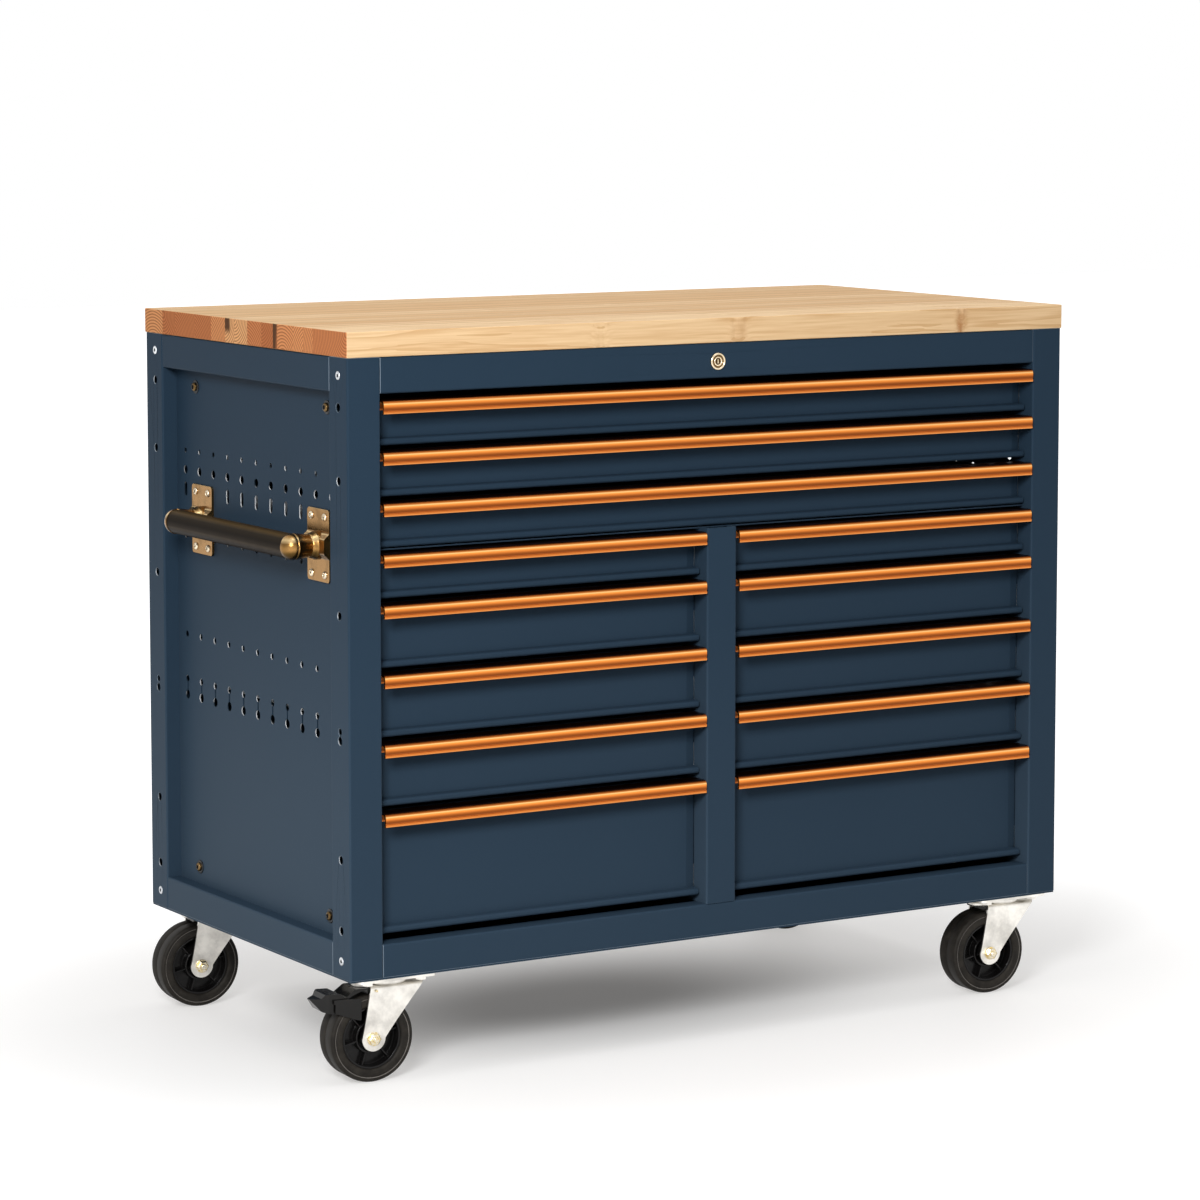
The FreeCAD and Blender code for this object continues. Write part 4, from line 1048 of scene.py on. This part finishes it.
def tyre(caster):
    r = caster.radius
    h = 0.01875
    inner = 0.0380
    rim = 0.0036
    profile = [(inner, -h + 0.0022), (inner + 0.0012, -h + 0.0004), (inner + 0.0030, -h)]
    profile += [(r - 0.0075, -h), (r - 0.0068, -h + 0.0005), (r - 0.0058, -h + 0.0005), (r - 0.0050, -h + 0.0001)]
    profile += [(a, b) for b, a in arc(-h + rim + 0.0001, r - rim, rim, 180, 90, 6)]
    profile += [(r, -0.0009), (r - 0.00025, -0.0006), (r - 0.00025, 0.0006), (r, 0.0009)]
    mirrored = [(a, -b) for a, b in profile[::-1] if b < -0.001]
    closed = profile + mirrored + [profile[0]]
    verts, faces = turned(closed, caster.centre, caster.axle, 128)
    obj = shaped("tyre_moulded_" + caster.name, verts, faces, MATERIALS["tyre_rubber"], "wheel_" + caster.name, "tyre_rubber", ["tyre_" + caster.name])
    # The faces of the side groove take the lighter rubber: a painted highlight along the groove.
    obj.data.materials.append(GROOVE_HIGHLIGHT)
    for face in obj.data.polygons:
        out = face.center - caster.centre
        side = abs(out.dot(caster.axle))
        if side > h - 0.0008 and r - 0.0062 < math.sqrt(out.length_squared - side * side) < r - 0.0048:
            face.material_index = 1


def dust_guard(caster):
    # Moulded black block under the trailing edge of the fork top, with three low ribs.
    low = caster.top - FORK_WALL - 0.0046
    high = caster.top - FORK_WALL
    rows = [(-0.0200, low + 0.0012), (-0.0190, low), (-0.0090, low), (-0.0080, low + 0.0008), (-0.0050, low + 0.0008), (-0.0040, low)]
    rows += [(0.0040, low), (0.0050, low + 0.0008), (0.0080, low + 0.0008), (0.0090, low), (0.0190, low), (0.0200, low + 0.0012)]
    section = rows + [(0.0200, high), (-0.0200, high)]
    count = len(section)
    verts = [caster.at(a, b, z) for a in (-0.0328, -0.0212) for b, z in section]
    faces = [tuple(range(count))[::-1], tuple(range(count, 2 * count))]
    faces += [(i, (i + 1) % count, count + (i + 1) % count, count + i) for i in range(count)]
    obj = shaped("dust_guard_" + caster.name, verts, faces, MATERIALS["pedal_black"], "swivel_" + caster.name, "pedal_black")
    crisp(obj, 0.0004)


for name in ("front_left", "front_right", "rear_left", "rear_right"):
    caster = Caster(name)
    braked = name == "front_left"
    if not braked:
        dust_guard(caster)
    fork(caster)
    axle_set(caster, braked)
    tyre(caster)
print("dressed:", len(CAST), "pieces")
